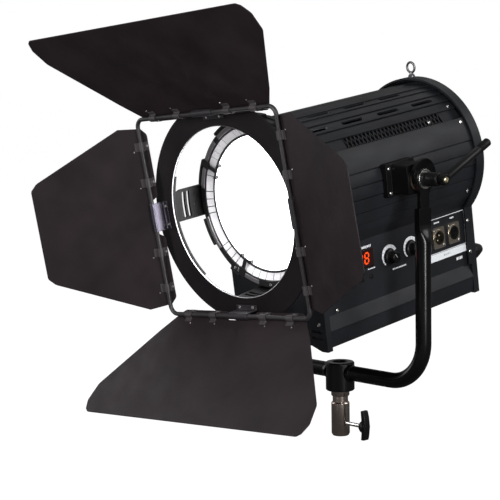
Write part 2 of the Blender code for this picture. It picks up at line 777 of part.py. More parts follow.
def make_rear_cover():
    back, front = REAR_PLATE_RANGE
    outline = keyhole(REAR_RADIUS, REAR_HALF_WIDTH, REAR_FOOT)
    cover = flat("rear_cover", [outline], (back, front), "black_paint", head_frame)
    skirt = sector(
        "rear_skirt",
        ring_profile(BARREL_RADIUS + 1.2 * MM, REAR_RADIUS, (front - 2 * MM, REAR_RIM_FRONT)),
        130,
        90,
        None,
        head_frame,
        (0, BARREL_CENTRE, 0),
        40,
    )
    wall = 4 * MM
    hollow = flat(
        "rear_hollow_cutter",
        [keyhole(BARREL_RADIUS - wall, PANEL_X - wall, CASING_FOOT[1] + wall)],
        (back + 3 * MM, front + 5 * MM),
        None,
        head_frame,
    )
    join(cover, skirt)
    cut(cover, hollow)
    x, y, z = REAR_LIP_PLACE
    for side, sign in SIDES.items():
        join(cover, box("rear_lip_" + side, REAR_LIP_SIZE, (sign * x, y, z), None, head_frame))
    for i in range(7):
        height = OPTICAL_AXIS_Y + (i - 3) * 11 * MM
        half = math.sqrt((40 * MM) ** 2 - (height - OPTICAL_AXIS_Y) ** 2)
        slot = box(f"fan_vent_{i}", (2 * half, 6 * MM, 12 * MM), (0, height, back), None, head_frame)
        cut(cover, slot)
    spindle_hole = cylinder(
        "spindle_cutter", 4.4 * MM, (back - 5 * MM, front), (*FOCUS_PLACE, 0), None, head_frame, sides=16
    )
    inlet_hole = box("inlet_cutter", (24 * MM, 20 * MM, 12 * MM), (*INLET_PLACE, back), None, head_frame)
    switch_hole = box("switch_cutter", (13.6 * MM, 20.4 * MM, 12 * MM), (*SWITCH_PLACE, back), None, head_frame)
    cut(cover, spindle_hole, inlet_hole, switch_hole)


def make_eye_bolt():
    top = BARREL_CENTRE + REAR_RADIUS
    along = -182 * MM
    eye_centre = top + 14.5 * MM
    angles = [math.tau * i / 20 for i in range(20)]
    ring = tube(
        "eye_bolt",
        [(7 * MM * math.cos(a), eye_centre + 7 * MM * math.sin(a), along) for a in angles],
        2 * MM,
        "black_paint",
        head_frame,
        closed=True,
    )
    shank = cylinder(
        "eye_bolt_shank",
        2.6 * MM,
        (top + 1.5 * MM, eye_centre - 6 * MM),
        (0, 0, along),
        None,
        head_frame,
        ALONG_Y,
        sides=16,
    )
    collar = cylinder(
        "eye_bolt_collar", 5 * MM, (top + GAP, top + 3.5 * MM), (0, 0, along), None, head_frame, ALONG_Y, sides=16
    )
    join(ring, shank, collar)


def make_optics():
    low, high = LENS_RING_RANGE
    seat = low + 3 * MM
    profile = [
        (LENS_OPENING_RADIUS, low),
        (LENS_RING_RADIUS, low),
        (LENS_RING_RADIUS, high - 1.4 * MM),
        (LENS_RING_RADIUS - 1.4 * MM, high),
        (LENS_CONE_RADIUS + 0.8 * MM, high),
        (LENS_CONE_RADIUS, high - 1.6 * MM),
        (LENS_SEAT_RADIUS, seat + 2 * MM),
        (LENS_SEAT_RADIUS, seat),
        (LENS_OPENING_RADIUS, seat),
    ]
    turned("lens_ring", profile, "black_paint", beam_frame, sides=48)
    lens_back = seat + GAP
    lens_edge = lens_back + 3.4 * MM
    lens_profile = [(0, lens_back), (LENS_RADIUS, lens_back), (LENS_RADIUS, lens_edge)]
    crown = [(LENS_RADIUS * math.cos(a), lens_edge + LENS_CROWN * math.sin(a)) for a in (0.4, 0.8, 1.2)]
    lens_profile += crown + [(0, lens_edge + LENS_CROWN)]
    turned("fresnel_lens", lens_profile, "glass", beam_frame, sides=48)
    for i, angle in enumerate(LENS_CLIP_ANGLES):
        turn = math.radians(angle)
        across, along = math.cos(turn), math.sin(turn)
        middle = LENS_RADIUS + 4 * MM
        place = (middle * across, middle * along, high + 6 * MM)
        clip = box(f"lens_clip_{i + 1}", LENS_CLIP_SIZE, place, "black_paint", beam_frame, (0, 0, turn))
        foot_place = (CLIP_FOOT_RADIUS * across, CLIP_FOOT_RADIUS * along, high + 3.2 * MM)
        join(clip, box(f"clip_foot_{i + 1}", CLIP_FOOT_SIZE, foot_place, None, beam_frame, (0, 0, turn)))
    ear_profile = [
        (EAR_RING_RADII[0], low),
        (EAR_RING_RADII[1], low),
        (EAR_RING_RADII[1], EAR_FRONT - 3 * MM),
        (EAR_HOOK_RADIUS, EAR_FRONT - 3 * MM),
        (EAR_HOOK_RADIUS, EAR_FRONT),
        (EAR_RING_RADII[0], EAR_FRONT),
    ]
    for side, angle in (("right", 0), ("top", 90), ("left", 180), ("bottom", 270)):
        ear = sector("accessory_ear_" + side, ear_profile, EAR_HALF_ANGLE, angle, "black_paint", beam_frame)
        turn = math.radians(angle)
        middle = sum(EAR_RING_RADII) / 2
        for i, along in enumerate(EAR_SLOT_PLACES):
            place = (middle * math.cos(turn), middle * math.sin(turn), along)
            cut(ear, box(f"ear_slot_{side}_{i}", EAR_SLOT_SIZE, place, None, beam_frame, (0, 0, turn)))


def make_controls():
    along, height = DISPLAY_PLACE
    size = (3.2 * MM, DISPLAY_SIZE[1], DISPLAY_SIZE[0])
    box("display_window", size, (PANEL_X - 1.2 * MM, height, along), "display_red", head_frame)
    for name, (along, height) in KNOB_PLACES.items():
        knob = cylinder(
            name,
            KNOB_RADIUS,
            (PANEL_X + 0.8 * MM, PANEL_X + 15 * MM),
            (0, height, along),
            "black_plastic",
            head_frame,
            ALONG_X,
            end_radius=KNOB_RADIUS - 1.2 * MM,
        )
        shaft = cylinder(
            name + "_shaft",
            3 * MM,
            (64 * MM, PANEL_X + 4 * MM),
            (0, height, along),
            None,
            head_frame,
            ALONG_X,
            sides=16,
        )
        join(knob, shaft)
    for name, (along, height) in BUTTON_PLACES.items():
        cylinder(
            name,
            BUTTON_RADIUS,
            (66 * MM, PANEL_X + 1.6 * MM),
            (0, height, along),
            "black_plastic",
            head_frame,
            ALONG_X,
            sides=16,
        )
    for name, (along, height) in CONNECTOR_PLACES.items():
        make_connector(name, along, height)


def make_connector(name, along, height):
    """A round three-pole socket on a square flange. The inlet has pins, and the outlet has holes."""
    flange = box(
        name,
        (2.4 * MM, 31 * MM, 26 * MM),
        (PANEL_X + 1.5 * MM, height, along),
        "nickel",
        head_frame,
    )
    barrel = cylinder(
        name + "_barrel", 11.6 * MM, (58 * MM, PANEL_X + 2 * MM), (0, height, along), None, head_frame, ALONG_X
    )
    join(flange, barrel)
    if name == "dmx_in":
        mouth = cylinder(
            name + "_mouth",
            9.4 * MM,
            (66 * MM, PANEL_X + 6 * MM),
            (0, height, along),
            None,
            head_frame,
            ALONG_X,
        )
        cut(flange, mouth)
    for i, turn in enumerate((30, 150, 270)):
        place = (
            0,
            height + 4.6 * MM * math.sin(math.radians(turn)),
            along + 4.6 * MM * math.cos(math.radians(turn)),
        )
        if name == "dmx_in":
            pin = cylinder(f"{name}_pin_{i}", 1.3 * MM, (64 * MM, 78 * MM), place, None, head_frame, ALONG_X, 10)
            join(flange, pin)
        else:
            hole = cylinder(f"{name}_hole_{i}", 1.6 * MM, (68 * MM, 90 * MM), place, None, head_frame, ALONG_X, 10)
            cut(flange, hole)


def make_rear_controls():
    back = REAR_PLATE_RANGE[0]
    inlet = box(
        "power_inlet", (30 * MM, 26 * MM, 3 * MM), (*INLET_PLACE, back - 1.8 * MM), "black_plastic", head_frame
    )
    inlet_body = box(
        "inlet_body", (23.4 * MM, 19.4 * MM, 24 * MM), (*INLET_PLACE, back + 10 * MM), None, head_frame
    )
    join(inlet, inlet_body)
    socket = box("inlet_socket", (17 * MM, 12 * MM, 20 * MM), (*INLET_PLACE, back + 2 * MM), None, head_frame)
    cut(inlet, socket)
    rocker = cylinder(
        "power_switch",
        10.8 * MM,
        (-6.2 * MM, 6.2 * MM),
        (*SWITCH_PLACE, back + 7 * MM),
        "black_plastic",
        head_frame,
        ALONG_X,
        sides=20,
    )
    trim = box("rocker_trim", (30 * MM, 30 * MM, 12 * MM), (*SWITCH_PLACE, back + 12 * MM), None, head_frame)
    tall = box("rocker_height", (12.4 * MM, 17.6 * MM, 40 * MM), (*SWITCH_PLACE, back), None, head_frame)
    cut(rocker, trim)
    boolean(rocker, tall, "INTERSECT")
    knob_profile = [(radius * MM, back - reach * MM) for radius, reach in FOCUS_KNOB_NOSE[::-1]]
    knob_profile += [
        (FOCUS_KNOB_RADIUS, back - 1 * MM),
        (FOCUS_KNOB_BORE, back - 1 * MM),
        (FOCUS_KNOB_BORE, back - FOCUS_KNOB_BORE_DEPTH),
        (0, back - FOCUS_KNOB_BORE_DEPTH),
    ]
    turned("focus_knob", knob_profile, "black_plastic", head_frame, (*FOCUS_PLACE, 0), sides=28)
    spindle = cylinder(
        "focus_spindle",
        4 * MM,
        (back - FOCUS_KNOB_BORE_DEPTH + 0.4 * MM, FRONT_PLATE_RANGE[0] - 2 * MM),
        (*FOCUS_PLACE, 0),
        "zinc",
        head_frame,
        sides=16,
    )
    collar = cylinder(
        "spindle_collar",
        8 * MM,
        (back + 3.4 * MM, back + 8 * MM),
        (*FOCUS_PLACE, 0),
        None,
        head_frame,
        sides=20,
    )
    join(spindle, collar)


def make_led_engine():
    low, high = SINK_RANGE
    size = 2 * SINK_HALF_SIZE
    sink = box(
        "heat_sink",
        (size, size, high - low),
        (0, OPTICAL_AXIS_Y, (low + high) / 2),
        "aluminium",
        head_frame,
    )
    fins = 11
    pitch = size / fins
    for i in range(fins - 1):
        x = (i + 1 - fins / 2) * pitch
        slot = box(
            f"fin_slot_{i}", (6.5 * MM, size + 4 * MM, high - low - 10 * MM + 5 * MM),
            (x, OPTICAL_AXIS_Y, (low + high) / 2 - 7.5 * MM), None, head_frame,
        )
        cut(sink, slot)
    for side, sign in SIDES.items():
        x, y = sign * GUIDE_ROD_PLACE[0], GUIDE_ROD_PLACE[1]
        hole = cylinder(
            "guide_hole_" + side, GUIDE_ROD_RADIUS + 0.4 * MM, (low - 5 * MM, high + 5 * MM), (x, y, 0), None,
            head_frame, sides=20,
        )
        cut(sink, hole)
        span = (REAR_PLATE_RANGE[0] + 3 * MM + GAP, FRONT_PLATE_RANGE[0] - GAP)
        cylinder("guide_rod_" + side, GUIDE_ROD_RADIUS, span, (x, y, 0), "zinc", head_frame, sides=20)
    plate = box(
        "led_array", (44 * MM, 44 * MM, 3 * MM), (0, OPTICAL_AXIS_Y, high + 1.8 * MM), "led_yellow", head_frame
    )
    emitter = cylinder(
        "led_emitter", 15 * MM, (high + 2 * MM, high + 4.6 * MM), (0, OPTICAL_AXIS_Y, 0), None, head_frame, sides=28
    )
    join(plate, emitter)
    sink_foot = OPTICAL_AXIS_Y - SINK_HALF_SIZE
    leg_foot = FOCUS_PLACE[1] - 9 * MM
    leg = box(
        "spindle_nut", (18 * MM, sink_foot - GAP - leg_foot, 16 * MM),
        (30 * MM, (sink_foot - GAP + leg_foot) / 2, 8 * MM), "zinc", head_frame,
    )
    foot = box("nut_foot", (52 * MM, 18 * MM, 16 * MM), (48 * MM, FOCUS_PLACE[1], 8 * MM), None, head_frame)
    nut_bore = cylinder(
        "nut_cutter", 4 * MM + 0.4 * MM, (-10 * MM, 30 * MM), (*FOCUS_PLACE, 0), None, head_frame, sides=16
    )
    join(leg, foot)
    cut(leg, nut_bore)


def make_fan():
    low, high = FAN_RANGE
    size = 2 * FAN_HALF_SIZE
    frame = box("fan_frame", (size, size, high - low), (0, OPTICAL_AXIS_Y, (low + high) / 2), "black_plastic", head_frame)
    duct = cylinder("fan_duct", 43 * MM, (low + 3 * MM, high + 5 * MM), (0, OPTICAL_AXIS_Y, 0), None, head_frame, sides=40)
    inlets = []
    for i in range(4):
        turn = math.radians(45 + 90 * i)
        place = (27 * MM * math.cos(turn), OPTICAL_AXIS_Y + 27 * MM * math.sin(turn), low)
        inlets.append(box(f"fan_inlet_{i}", (22 * MM, 20 * MM, 12 * MM), place, None, head_frame, (0, 0, turn)))
    cut(frame, duct, *inlets)
    rotor = cylinder(
        "fan_rotor", 15 * MM, (low + 4 * MM, high - 2 * MM), (0, OPTICAL_AXIS_Y, 0), "black_plastic", head_frame,
        sides=24,
    )
    for i in range(7):
        turn = math.tau * i / 7
        place = (27 * MM * math.cos(turn), OPTICAL_AXIS_Y + 27 * MM * math.sin(turn), (low + high) / 2 + 1 * MM)
        join(rotor, box(f"fan_blade_{i}", (27 * MM, 1.8 * MM, 18 * MM), place, None, head_frame, (0, 0, turn)))


def make_electronics():
    box("power_supply", (84 * MM, 60 * MM, 180 * MM), (-32 * MM, -177 * MM, -20 * MM), "aluminium", head_frame)
    box("control_board", (1.6 * MM, 50 * MM, 168 * MM), (62 * MM, -117 * MM, 8 * MM), "board_green", head_frame)


def make_door_frame():
    back, front = DOOR_RING_RANGE
    profile = [
        (DOOR_RING_INNER, front),
        (DOOR_RING_INNER, back),
        (EAR_HOOK_RADIUS + 1 * MM, back),
        (EAR_HOOK_RADIUS + 1 * MM, back - 4.6 * MM),
        (EAR_RING_RADII[1] + 1 * MM, back - 4.6 * MM),
        (EAR_RING_RADII[1] + 1 * MM, back - 7 * MM),
        (EAR_HOOK_RADIUS + 3.5 * MM, back - 7 * MM),
        (EAR_HOOK_RADIUS + 3.5 * MM, back),
        (DOOR_RING_OUTER, back),
        (DOOR_RING_OUTER, front),
    ]
    turned("door_ring", profile, "door_paint", door_frame, sides=48)
    corner = ROD_HALF_SIZE - ROD_CORNER
    route = []
    for i, (x, y) in enumerate(((1, 1), (-1, 1), (-1, -1), (1, -1))):
        route += arc((x * corner, y * corner), ROD_CORNER, 90 * i, 90 * i + 90, 5)
    rod = tube("door_rod", [(x, y, ROD_Z) for x, y in route], ROD_RADIUS, "door_paint", door_frame, closed=True)
    for i in range(4):
        turn = i * math.pi / 2
        place = (ROD_HALF_SIZE * math.cos(turn), ROD_HALF_SIZE * math.sin(turn), (front + GAP + ROD_Z + 4 * MM) / 2)
        size = (9 * MM, 46 * MM, ROD_Z + 4 * MM - front - GAP)
        join(rod, box(f"door_saddle_{i}", size, place, None, door_frame, (0, 0, turn)))


def make_leaf(side, turn, outline):
    """One leaf. Its frame has X along the hinge, Y out along the sheet and Z to its front."""
    turn = math.radians(turn)
    place = (-ROD_HALF_SIZE * math.sin(turn), ROD_HALF_SIZE * math.cos(turn), ROD_Z)
    frame = add_empty("leaf_axis_" + side, door_frame, place, (math.radians(LEAF_REST[side]), 0, turn))
    half = [(x * MM, y * MM) for x, y in LEAF_NOTCH + LEAF_SHOULDER + outline]
    points = half + [(-x, y) for x, y in half[::-1]]
    back = -KNUCKLE_RADII[1]
    sheet = flat("leaf_" + side, [points], (back, back + LEAF_THICKNESS), "door_paint", frame)
    for i, along in enumerate(KNUCKLE_PLACES):
        barrel = turned(
            f"leaf_knuckle_{side}_{i}",
            ring_profile(*KNUCKLE_RADII, (-KNUCKLE_LENGTH / 2, KNUCKLE_LENGTH / 2)),
            None,
            frame,
            (along, 0, 0),
            ALONG_X,
            sides=16,
        )
        join(sheet, barrel)


def make_barndoors():
    make_door_frame()
    make_leaf("top", 0, FLARED_HALF)
    make_leaf("left", 90, TAPERED_HALF)
    make_leaf("bottom", 180, FLARED_HALF)
    make_leaf("right", 270, TAPERED_HALF)


SIDES = {"right": 1, "left": -1}
clear_scene()
parts = new_collection(OBJECT_NAME)
cutters = new_collection("cutters", hidden=True)
looks = make_looks()
spigot_frame = add_empty("spigot_frame")
clamp_axis = add_empty("clamp_axis", spigot_frame, (0, 0, CLAMP_HEIGHT))
pan_axis = add_empty("pan_axis")
pivot_frame = add_empty("pivot_frame", pan_axis, (0, 0, PIVOT_HEIGHT))
head_frame = add_empty("head_frame", pivot_frame, (0, 0, 0), (math.pi / 2 + NOSE_DOWN, 0, 0))
lever_frame = add_empty("lever_frame", pivot_frame)
beam_frame = add_empty("beam_frame", head_frame, (0, OPTICAL_AXIS_Y, 0))
door_frame = add_empty("door_frame", head_frame, (0, OPTICAL_AXIS_Y, 0), (0, 0, DOOR_ROLL))
make_spigot()
make_yoke()
make_pivots()
make_tilt_lever()
make_casing()
make_front_plate()
make_rear_cover()
make_eye_bolt()
make_optics()
make_controls()
make_rear_controls()
make_led_engine()
make_fan()
make_electronics()
make_barndoors()
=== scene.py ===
"""Looks of a fresnel spotlight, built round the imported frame.

Lengths in the shapes are millimetres, and Shape.plain turns them into metres. Head coordinates: X to
the side with the control panel, Y up, Z along the beam, origin on the tilt axis. Angles are in degrees.
"""

import math

import bmesh
import bpy
from mathutils import Euler, Matrix, Vector
from mathutils.geometry import tessellate_polygon


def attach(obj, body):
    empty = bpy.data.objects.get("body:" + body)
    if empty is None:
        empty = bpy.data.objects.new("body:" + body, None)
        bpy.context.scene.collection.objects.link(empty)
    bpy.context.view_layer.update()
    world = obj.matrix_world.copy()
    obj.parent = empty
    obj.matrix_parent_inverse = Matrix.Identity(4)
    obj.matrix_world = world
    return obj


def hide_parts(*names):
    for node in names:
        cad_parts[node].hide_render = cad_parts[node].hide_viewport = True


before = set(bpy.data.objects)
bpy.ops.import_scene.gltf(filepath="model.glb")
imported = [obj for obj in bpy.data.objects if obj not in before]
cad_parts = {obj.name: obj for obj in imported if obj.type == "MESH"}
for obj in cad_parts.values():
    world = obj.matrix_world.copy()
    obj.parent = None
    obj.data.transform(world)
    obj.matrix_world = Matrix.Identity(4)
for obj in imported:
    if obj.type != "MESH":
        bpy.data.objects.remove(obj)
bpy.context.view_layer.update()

MM = 0.001
SIDES = {"right": 1, "left": -1}

# Frames of the bodies: their matrices are in metres
PIVOT_Z = 381.1
NOSE_DOWN = math.radians(8.0)
OPTICAL_AXIS_Y = -9
DOOR_ROLL = math.radians(4.4)
LEAF_REST = {"top": 40.1, "left": 41.8, "bottom": 50.8, "right": 21.0}
LEAF_TURN = {"top": 0, "left": 90, "bottom": 180, "right": 270}
WORLD = Matrix()
PIVOT = Matrix.Translation((0, 0, PIVOT_Z * MM))
HEAD = PIVOT @ Matrix.Rotation(math.pi / 2 + NOSE_DOWN, 4, "X")
BEAM = HEAD @ Matrix.Translation((0, OPTICAL_AXIS_Y * MM, 0))
DOOR = BEAM @ Matrix.Rotation(DOOR_ROLL, 4, "Z")

# Sizes that several pieces share
BARREL = 112
BARREL_Y = -3
PANEL_X = 80
SPAN = (-178.7, 137.5)
YOKE_X = 158
ROD_HALF = 139
ROD_Z = 234
ROD_RADIUS = 3


def turned(x=0, y=0, z=0):
    """A rotation in degrees."""
    return Euler([math.radians(a) for a in (x, y, z)]).to_matrix().to_4x4()


def at(*place):
    return Matrix.Translation(place)


def polar(radius, degrees, centre=(0, 0)):
    turn = math.radians(degrees)
    return (centre[0] + radius * math.cos(turn), centre[1] + radius * math.sin(turn))


def arc(radius, start, end, steps, centre=(0, 0)):
    return [polar(radius, start + (end - start) * i / steps, centre) for i in range(steps + 1)]


def circle(radius, steps=48, centre=(0, 0)):
    return arc(radius, 0, 360 - 360 / steps, steps - 1, centre)


def mirrored(line):
    return [(-x, y) for x, y in line][::-1]


def rounded(width, height, radius, steps=5, centre=(0, 0)):
    """A rectangle with round corners, anticlockwise."""
    outline = []
    for i, (sx, sy) in enumerate(((1, 1), (-1, 1), (-1, -1), (1, -1))):
        middle = (centre[0] + sx * (width / 2 - radius), centre[1] + sy * (height / 2 - radius))
        outline += arc(radius, 90 * i, 90 * i + 90, steps, middle)
    return outline


def band(inner, outer, low, high):
    """The section of a plain ring or disc, for a lathe."""
    return [(inner, low), (outer, low), (outer, high), (inner, high)]


ALONG_X = turned(y=90)
ACROSS_X = turned(x=90, z=90)  # an outline's X goes to Y, its Y to Z and its depth to X
ACROSS_Y = turned(x=90)
BACKWARD = turned(y=180)


def loft(rings, closed=False):
    """Joins rings of points, all as long, with quads. It caps the ends of an open one."""
    bm = bmesh.new()
    rings = [[bm.verts.new(point) for point in ring] for ring in rings]
    pairs = list(zip(rings, rings[1:]))
    if closed:
        pairs.append((rings[-1], rings[0]))
    for a, b in pairs:
        for j in range(len(a)):
            k = (j + 1) % len(a)
            bm.faces.new((a[j], a[k], b[k], b[j]))
    if not closed:
        bm.faces.new(rings[0][::-1])
        bm.faces.new(rings[-1])
    return bm


class Shape:
    """Closed solids gathered in one mesh, in the frame place, for a piece that rides on body."""

    def __init__(self, place=HEAD, body="head"):
        self.bm = bmesh.new()
        self.place, self.body = place, body

    def merge(self, bm, place=WORLD):
        bmesh.ops.remove_doubles(bm, verts=bm.verts, dist=0.0005)
        bmesh.ops.recalc_face_normals(bm, faces=bm.faces)
        bm.transform(place)
        if place.determinant() < 0:
            bmesh.ops.reverse_faces(bm, faces=bm.faces)
        mesh = bpy.data.meshes.new("scratch")
        bm.to_mesh(mesh)
        bm.free()
        self.bm.from_mesh(mesh)
        bpy.data.meshes.remove(mesh)
        return self

    def box(self, size, centre, place=WORLD):
        bm = bmesh.new()
        bmesh.ops.create_cube(bm, size=1)
        bmesh.ops.scale(bm, vec=size, verts=bm.verts)
        return self.merge(bm, place @ at(*centre))

    def rod(self, start, end, radius, sides=32):
        start, end = Vector(start), Vector(end)
        along = end - start
        bm = bmesh.new()
        size = {"radius1": radius, "radius2": radius, "depth": along.length}
        bmesh.ops.create_cone(bm, cap_ends=True, segments=sides, **size)
        turn = along.to_track_quat("Z", "Y").to_matrix().to_4x4()
        return self.merge(bm, Matrix.Translation((start + end) / 2) @ turn)

    def lathe(self, profile, place=WORLD, steps=96, start=0, end=360):
        """A closed (radius, height) profile turned about Z, all round or from start to end."""
        whole = end - start >= 360
        count = steps if whole else steps + 1
        turns = [math.radians(start + (end - start) * i / steps) for i in range(count)]
        rings = [[(r * math.cos(t), r * math.sin(t), z) for r, z in profile] for t in turns]
        bm = loft(rings, whole)
        bmesh.ops.dissolve_degenerate(bm, edges=bm.edges, dist=0.0001)
        return self.merge(bm, place)

    def flat(self, outlines, span, place=WORLD):
        """An outline, with any holes after it, extruded along Z over span."""
        bm = bmesh.new()
        loops = [[[bm.verts.new((x, y, z)) for z in span] for x, y in outline] for outline in outlines]
        for loop in loops:
            for (a, b), (c, d) in zip(loop, loop[1:] + loop[:1]):
                bm.faces.new((a, c, d, b))
        points = [point for loop in loops for point in loop]
        faces = [range(len(points))]
        if len(outlines) > 1:
            faces = tessellate_polygon([[Vector((x, y, 0)) for x, y in outline] for outline in outlines])
        for face in faces:
            for level in (0, 1):
                bm.faces.new([points[i][level] for i in face])
        return self.merge(bm, place)

    def sweep(self, points, sections, up, closed=False, place=WORLD):
        """Outlines set across a path. Their Y lies along up."""
        up = Vector(up)
        points = [Vector(p) for p in points]
        count = len(points)
        rings = []
        for i, (point, section) in enumerate(zip(points, sections)):
            before = points[i - 1] if i or closed else point
            after = points[(i + 1) % count] if i + 1 < count or closed else point
            side = (after - before).normalized().cross(up).normalized()
            rings.append([point + side * u + up * v for u, v in section])
        return self.merge(loft(rings, closed), place)

    def tube(self, points, radius, up, closed=False, sides=16, place=WORLD):
        return self.sweep(points, [circle(radius, sides)] * len(points), up, closed, place)

    def mirror(self):
        """Turns right into left."""
        self.bm.transform(Matrix.Scale(-1, 4, (1, 0, 0)))
        bmesh.ops.reverse_faces(self.bm, faces=self.bm.faces)

    def piece(self, name, look, nodes=(), bevel=0.35, cutter=None, angle=30):
        """Turns the solids into one piece that stands for the CAD nodes."""
        obj = self.plain(name, self.place)
        obj.data.materials.append(looks[look])
        if cutter:
            carve(obj, cutter.plain(name + "_cutter", self.place))
        obj.data.shade_smooth()
        obj.data.set_sharp_from_angle(angle=math.radians(angle))
        if bevel:
            edge = obj.modifiers.new("edge", "BEVEL")
            edge.width = bevel * MM
            edge.segments = 2
            edge.limit_method = "ANGLE"
            edge.angle_limit = math.radians(angle)
            edge.harden_normals = True
        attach(obj, self.body)
        if nodes:
            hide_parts(*nodes)
        return obj

    def plain(self, name, place):
        mesh = bpy.data.meshes.new(name)
        bmesh.ops.scale(self.bm, vec=(MM, MM, MM), verts=self.bm.verts)
        self.bm.to_mesh(mesh)
        self.bm.free()
        obj = bpy.data.objects.new(name, mesh)
        bpy.context.scene.collection.objects.link(obj)
        obj.matrix_world = place
        return obj


def carve(obj, cutter):
    """Cuts the cutter from obj for good, and drops the cutter."""
    modifier = obj.modifiers.new("carve", "BOOLEAN")
    modifier.operation = "DIFFERENCE"
    modifier.solver = "EXACT"
    modifier.use_self = True
    modifier.object = cutter
    bpy.context.view_layer.update()
    graph = bpy.context.evaluated_depsgraph_get()
    mesh = bpy.data.meshes.new_from_object(obj.evaluated_get(graph))
    obj.modifiers.clear()
    obj.data = mesh
    bpy.data.objects.remove(cutter, do_unlink=True)


NOISE_ROUGHNESS = 0.55
WORN_EDGE = 0.0006
TOOL_LINE_DEPTH = 0.00002
INK_DEPTH = 0.00001


class Graph:
    """Short names for building a material's nodes."""

    def __init__(self, name):
        self.material = bpy.data.materials.new(name)
        self.material.use_nodes = True
        self.tree = self.material.node_tree
        self.shader = self.tree.nodes["Principled BSDF"]
        self.coords = self.add("ShaderNodeTexCoord").outputs["Object"]

    def add(self, kind, **settings):
        node = self.tree.nodes.new(kind)
        for key, value in settings.items():
            setattr(node, key, value)
        return node

    def link(self, source, target):
        if isinstance(source, bpy.types.NodeSocket):
            self.tree.links.new(source, target)
        else:
            target.default_value = source

    def stretched(self, scale):
        node = self.add("ShaderNodeMapping")
        self.link(self.coords, node.inputs["Vector"])
        node.inputs["Scale"].default_value = scale
        return node.outputs["Vector"]

    def give(self, name, value):
        self.link(value, self.shader.inputs[name])

    def noise(self, scale, detail=3.0, vector=None):
        node = self.add("ShaderNodeTexNoise")
        self.link(vector or self.coords, node.inputs["Vector"])
        node.inputs["Scale"].default_value = scale
        node.inputs["Detail"].default_value = detail
        node.inputs["Roughness"].default_value = NOISE_ROUGHNESS
        return node.outputs["Fac"]

    def ramp(self, value, low, high, start=0.0, end=1.0):
        node = self.add("ShaderNodeMapRange", clamp=True)
        keys = ("Value", "From Min", "From Max", "To Min", "To Max")
        for key, source in zip(keys, (value, low, high, start, end)):
            self.link(source, node.inputs[key])
        return node.outputs["Result"]

    def mix(self, fac, a, b):
        node = self.add("ShaderNodeMix", data_type="RGBA")
        self.link(fac, node.inputs["Factor"])
        for colour, key in ((a, 6), (b, 7)):
            flat = not isinstance(colour, bpy.types.NodeSocket)
            self.link((*colour, 1) if flat else colour, node.inputs[key])
        return node.outputs[2]

    def product(self, a, b):
        node = self.add("ShaderNodeMath", operation="MULTIPLY")
        self.link(a, node.inputs[0])
        self.link(b, node.inputs[1])
        return node.outputs[0]

    def bump(self, layers):
        """Adds up (height, distance in metres) layers."""
        normal = None
        for height, distance in layers:
            node = self.add("ShaderNodeBump")
            node.inputs["Distance"].default_value = distance
            node.inputs["Strength"].default_value = 1.0
            self.link(height, node.inputs["Height"])
            if normal:
                self.link(normal, node.inputs["Normal"])
            normal = node.outputs["Normal"]
        self.give("Normal", normal)

    def edges(self):
        """1 on sharp outer and inner edges, 0 on faces."""
        bevel = self.add("ShaderNodeBevel", samples=4)
        bevel.inputs["Radius"].default_value = WORN_EDGE
        dot = self.add("ShaderNodeVectorMath", operation="DOT_PRODUCT")
        self.link(bevel.outputs["Normal"], dot.inputs[0])
        self.link(self.add("ShaderNodeNewGeometry").outputs["Normal"], dot.inputs[1])
        return self.ramp(dot.outputs["Value"], 0.97, 0.80)


def tint(colour, factor, lift=0.0):
    return tuple(c * factor + lift for c in colour)


def paint(name, colour, rough, level=0.35, grain=1500, depth=0.00003, wear=0.35):
    """Sprayed or powder paint: a fine orange peel, faint clouds of colour, and edges rubbed lighter."""
    g = Graph(name)
    clouds = g.noise(14, 4.0)
    specks = g.noise(grain, 2.0)
    base = g.mix(g.ramp(clouds, 0.35, 0.65), tint(colour, 0.78), tint(colour, 1.35))
    base = g.mix(g.ramp(specks, 0.58, 0.75, 0.0, 0.35), base, tint(colour, 2.2))
    rubbed = g.product(g.edges(), g.ramp(g.noise(220, 3.0), 0.40, 0.62, 0.15, 1.0))
    rubbed = g.product(rubbed, wear)
    g.give("Base Color", g.mix(rubbed, base, tint(colour, 4, 0.06)))
    smears = g.noise(30, 5.0, g.stretched((1, 1, 0.35)))
    g.give("Roughness", g.ramp(smears, 0.3, 0.7, rough - 0.06, rough + 0.08))
    g.give("Specular IOR Level", level)
    g.bump([(specks, depth), (g.noise(90, 2.0), depth)])
    return g.material


def metal(name, colour, rough, stretch=(1, 1, 1), lines=900):
    """Bare or plated metal with fine tool lines along one way and duller patches."""
    g = Graph(name)
    tool = g.noise(lines, 3.0, g.stretched(stretch))
    patches = g.noise(60, 4.0)
    base = g.mix(g.ramp(patches, 0.35, 0.7), tint(colour, 0.82), colour)
    base = g.mix(g.ramp(tool, 0.55, 0.75, 0.0, 0.3), base, tint(colour, 0.6))
    g.give("Base Color", base)
    g.give("Roughness", g.ramp(tool, 0.3, 0.7, rough - 0.07, rough + 0.10))
    g.give("Metallic", 1.0)
    g.bump([(tool, TOOL_LINE_DEPTH)])
    return g.material


def plastic(name, colour, rough, level=0.4, grain=2400, depth=0.00004):
    """Moulded plastic with a spark-eroded grain."""
    g = Graph(name)
    grit = g.noise(grain, 2.0)
    clouds = g.noise(40, 3.0)
    g.give("Base Color", g.mix(g.ramp(clouds, 0.35, 0.65), tint(colour, 0.8), tint(colour, 1.3)))
    g.give("Roughness", g.ramp(grit, 0.3, 0.7, rough - 0.06, rough + 0.08))
    g.give("Specular IOR Level", level)
    g.bump([(grit, depth)])
    return g.material


def ink(name, colour):
    """Screen-printed ink, a little uneven."""
    g = Graph(name)
    thin = g.noise(1400, 3.0)
    g.give("Base Color", g.mix(g.ramp(thin, 0.3, 0.6), tint(colour, 0.72), colour))
    g.give("Roughness", g.ramp(thin, 0.3, 0.7, 0.45, 0.6))
    g.bump([(thin, INK_DEPTH)])
    return g.material


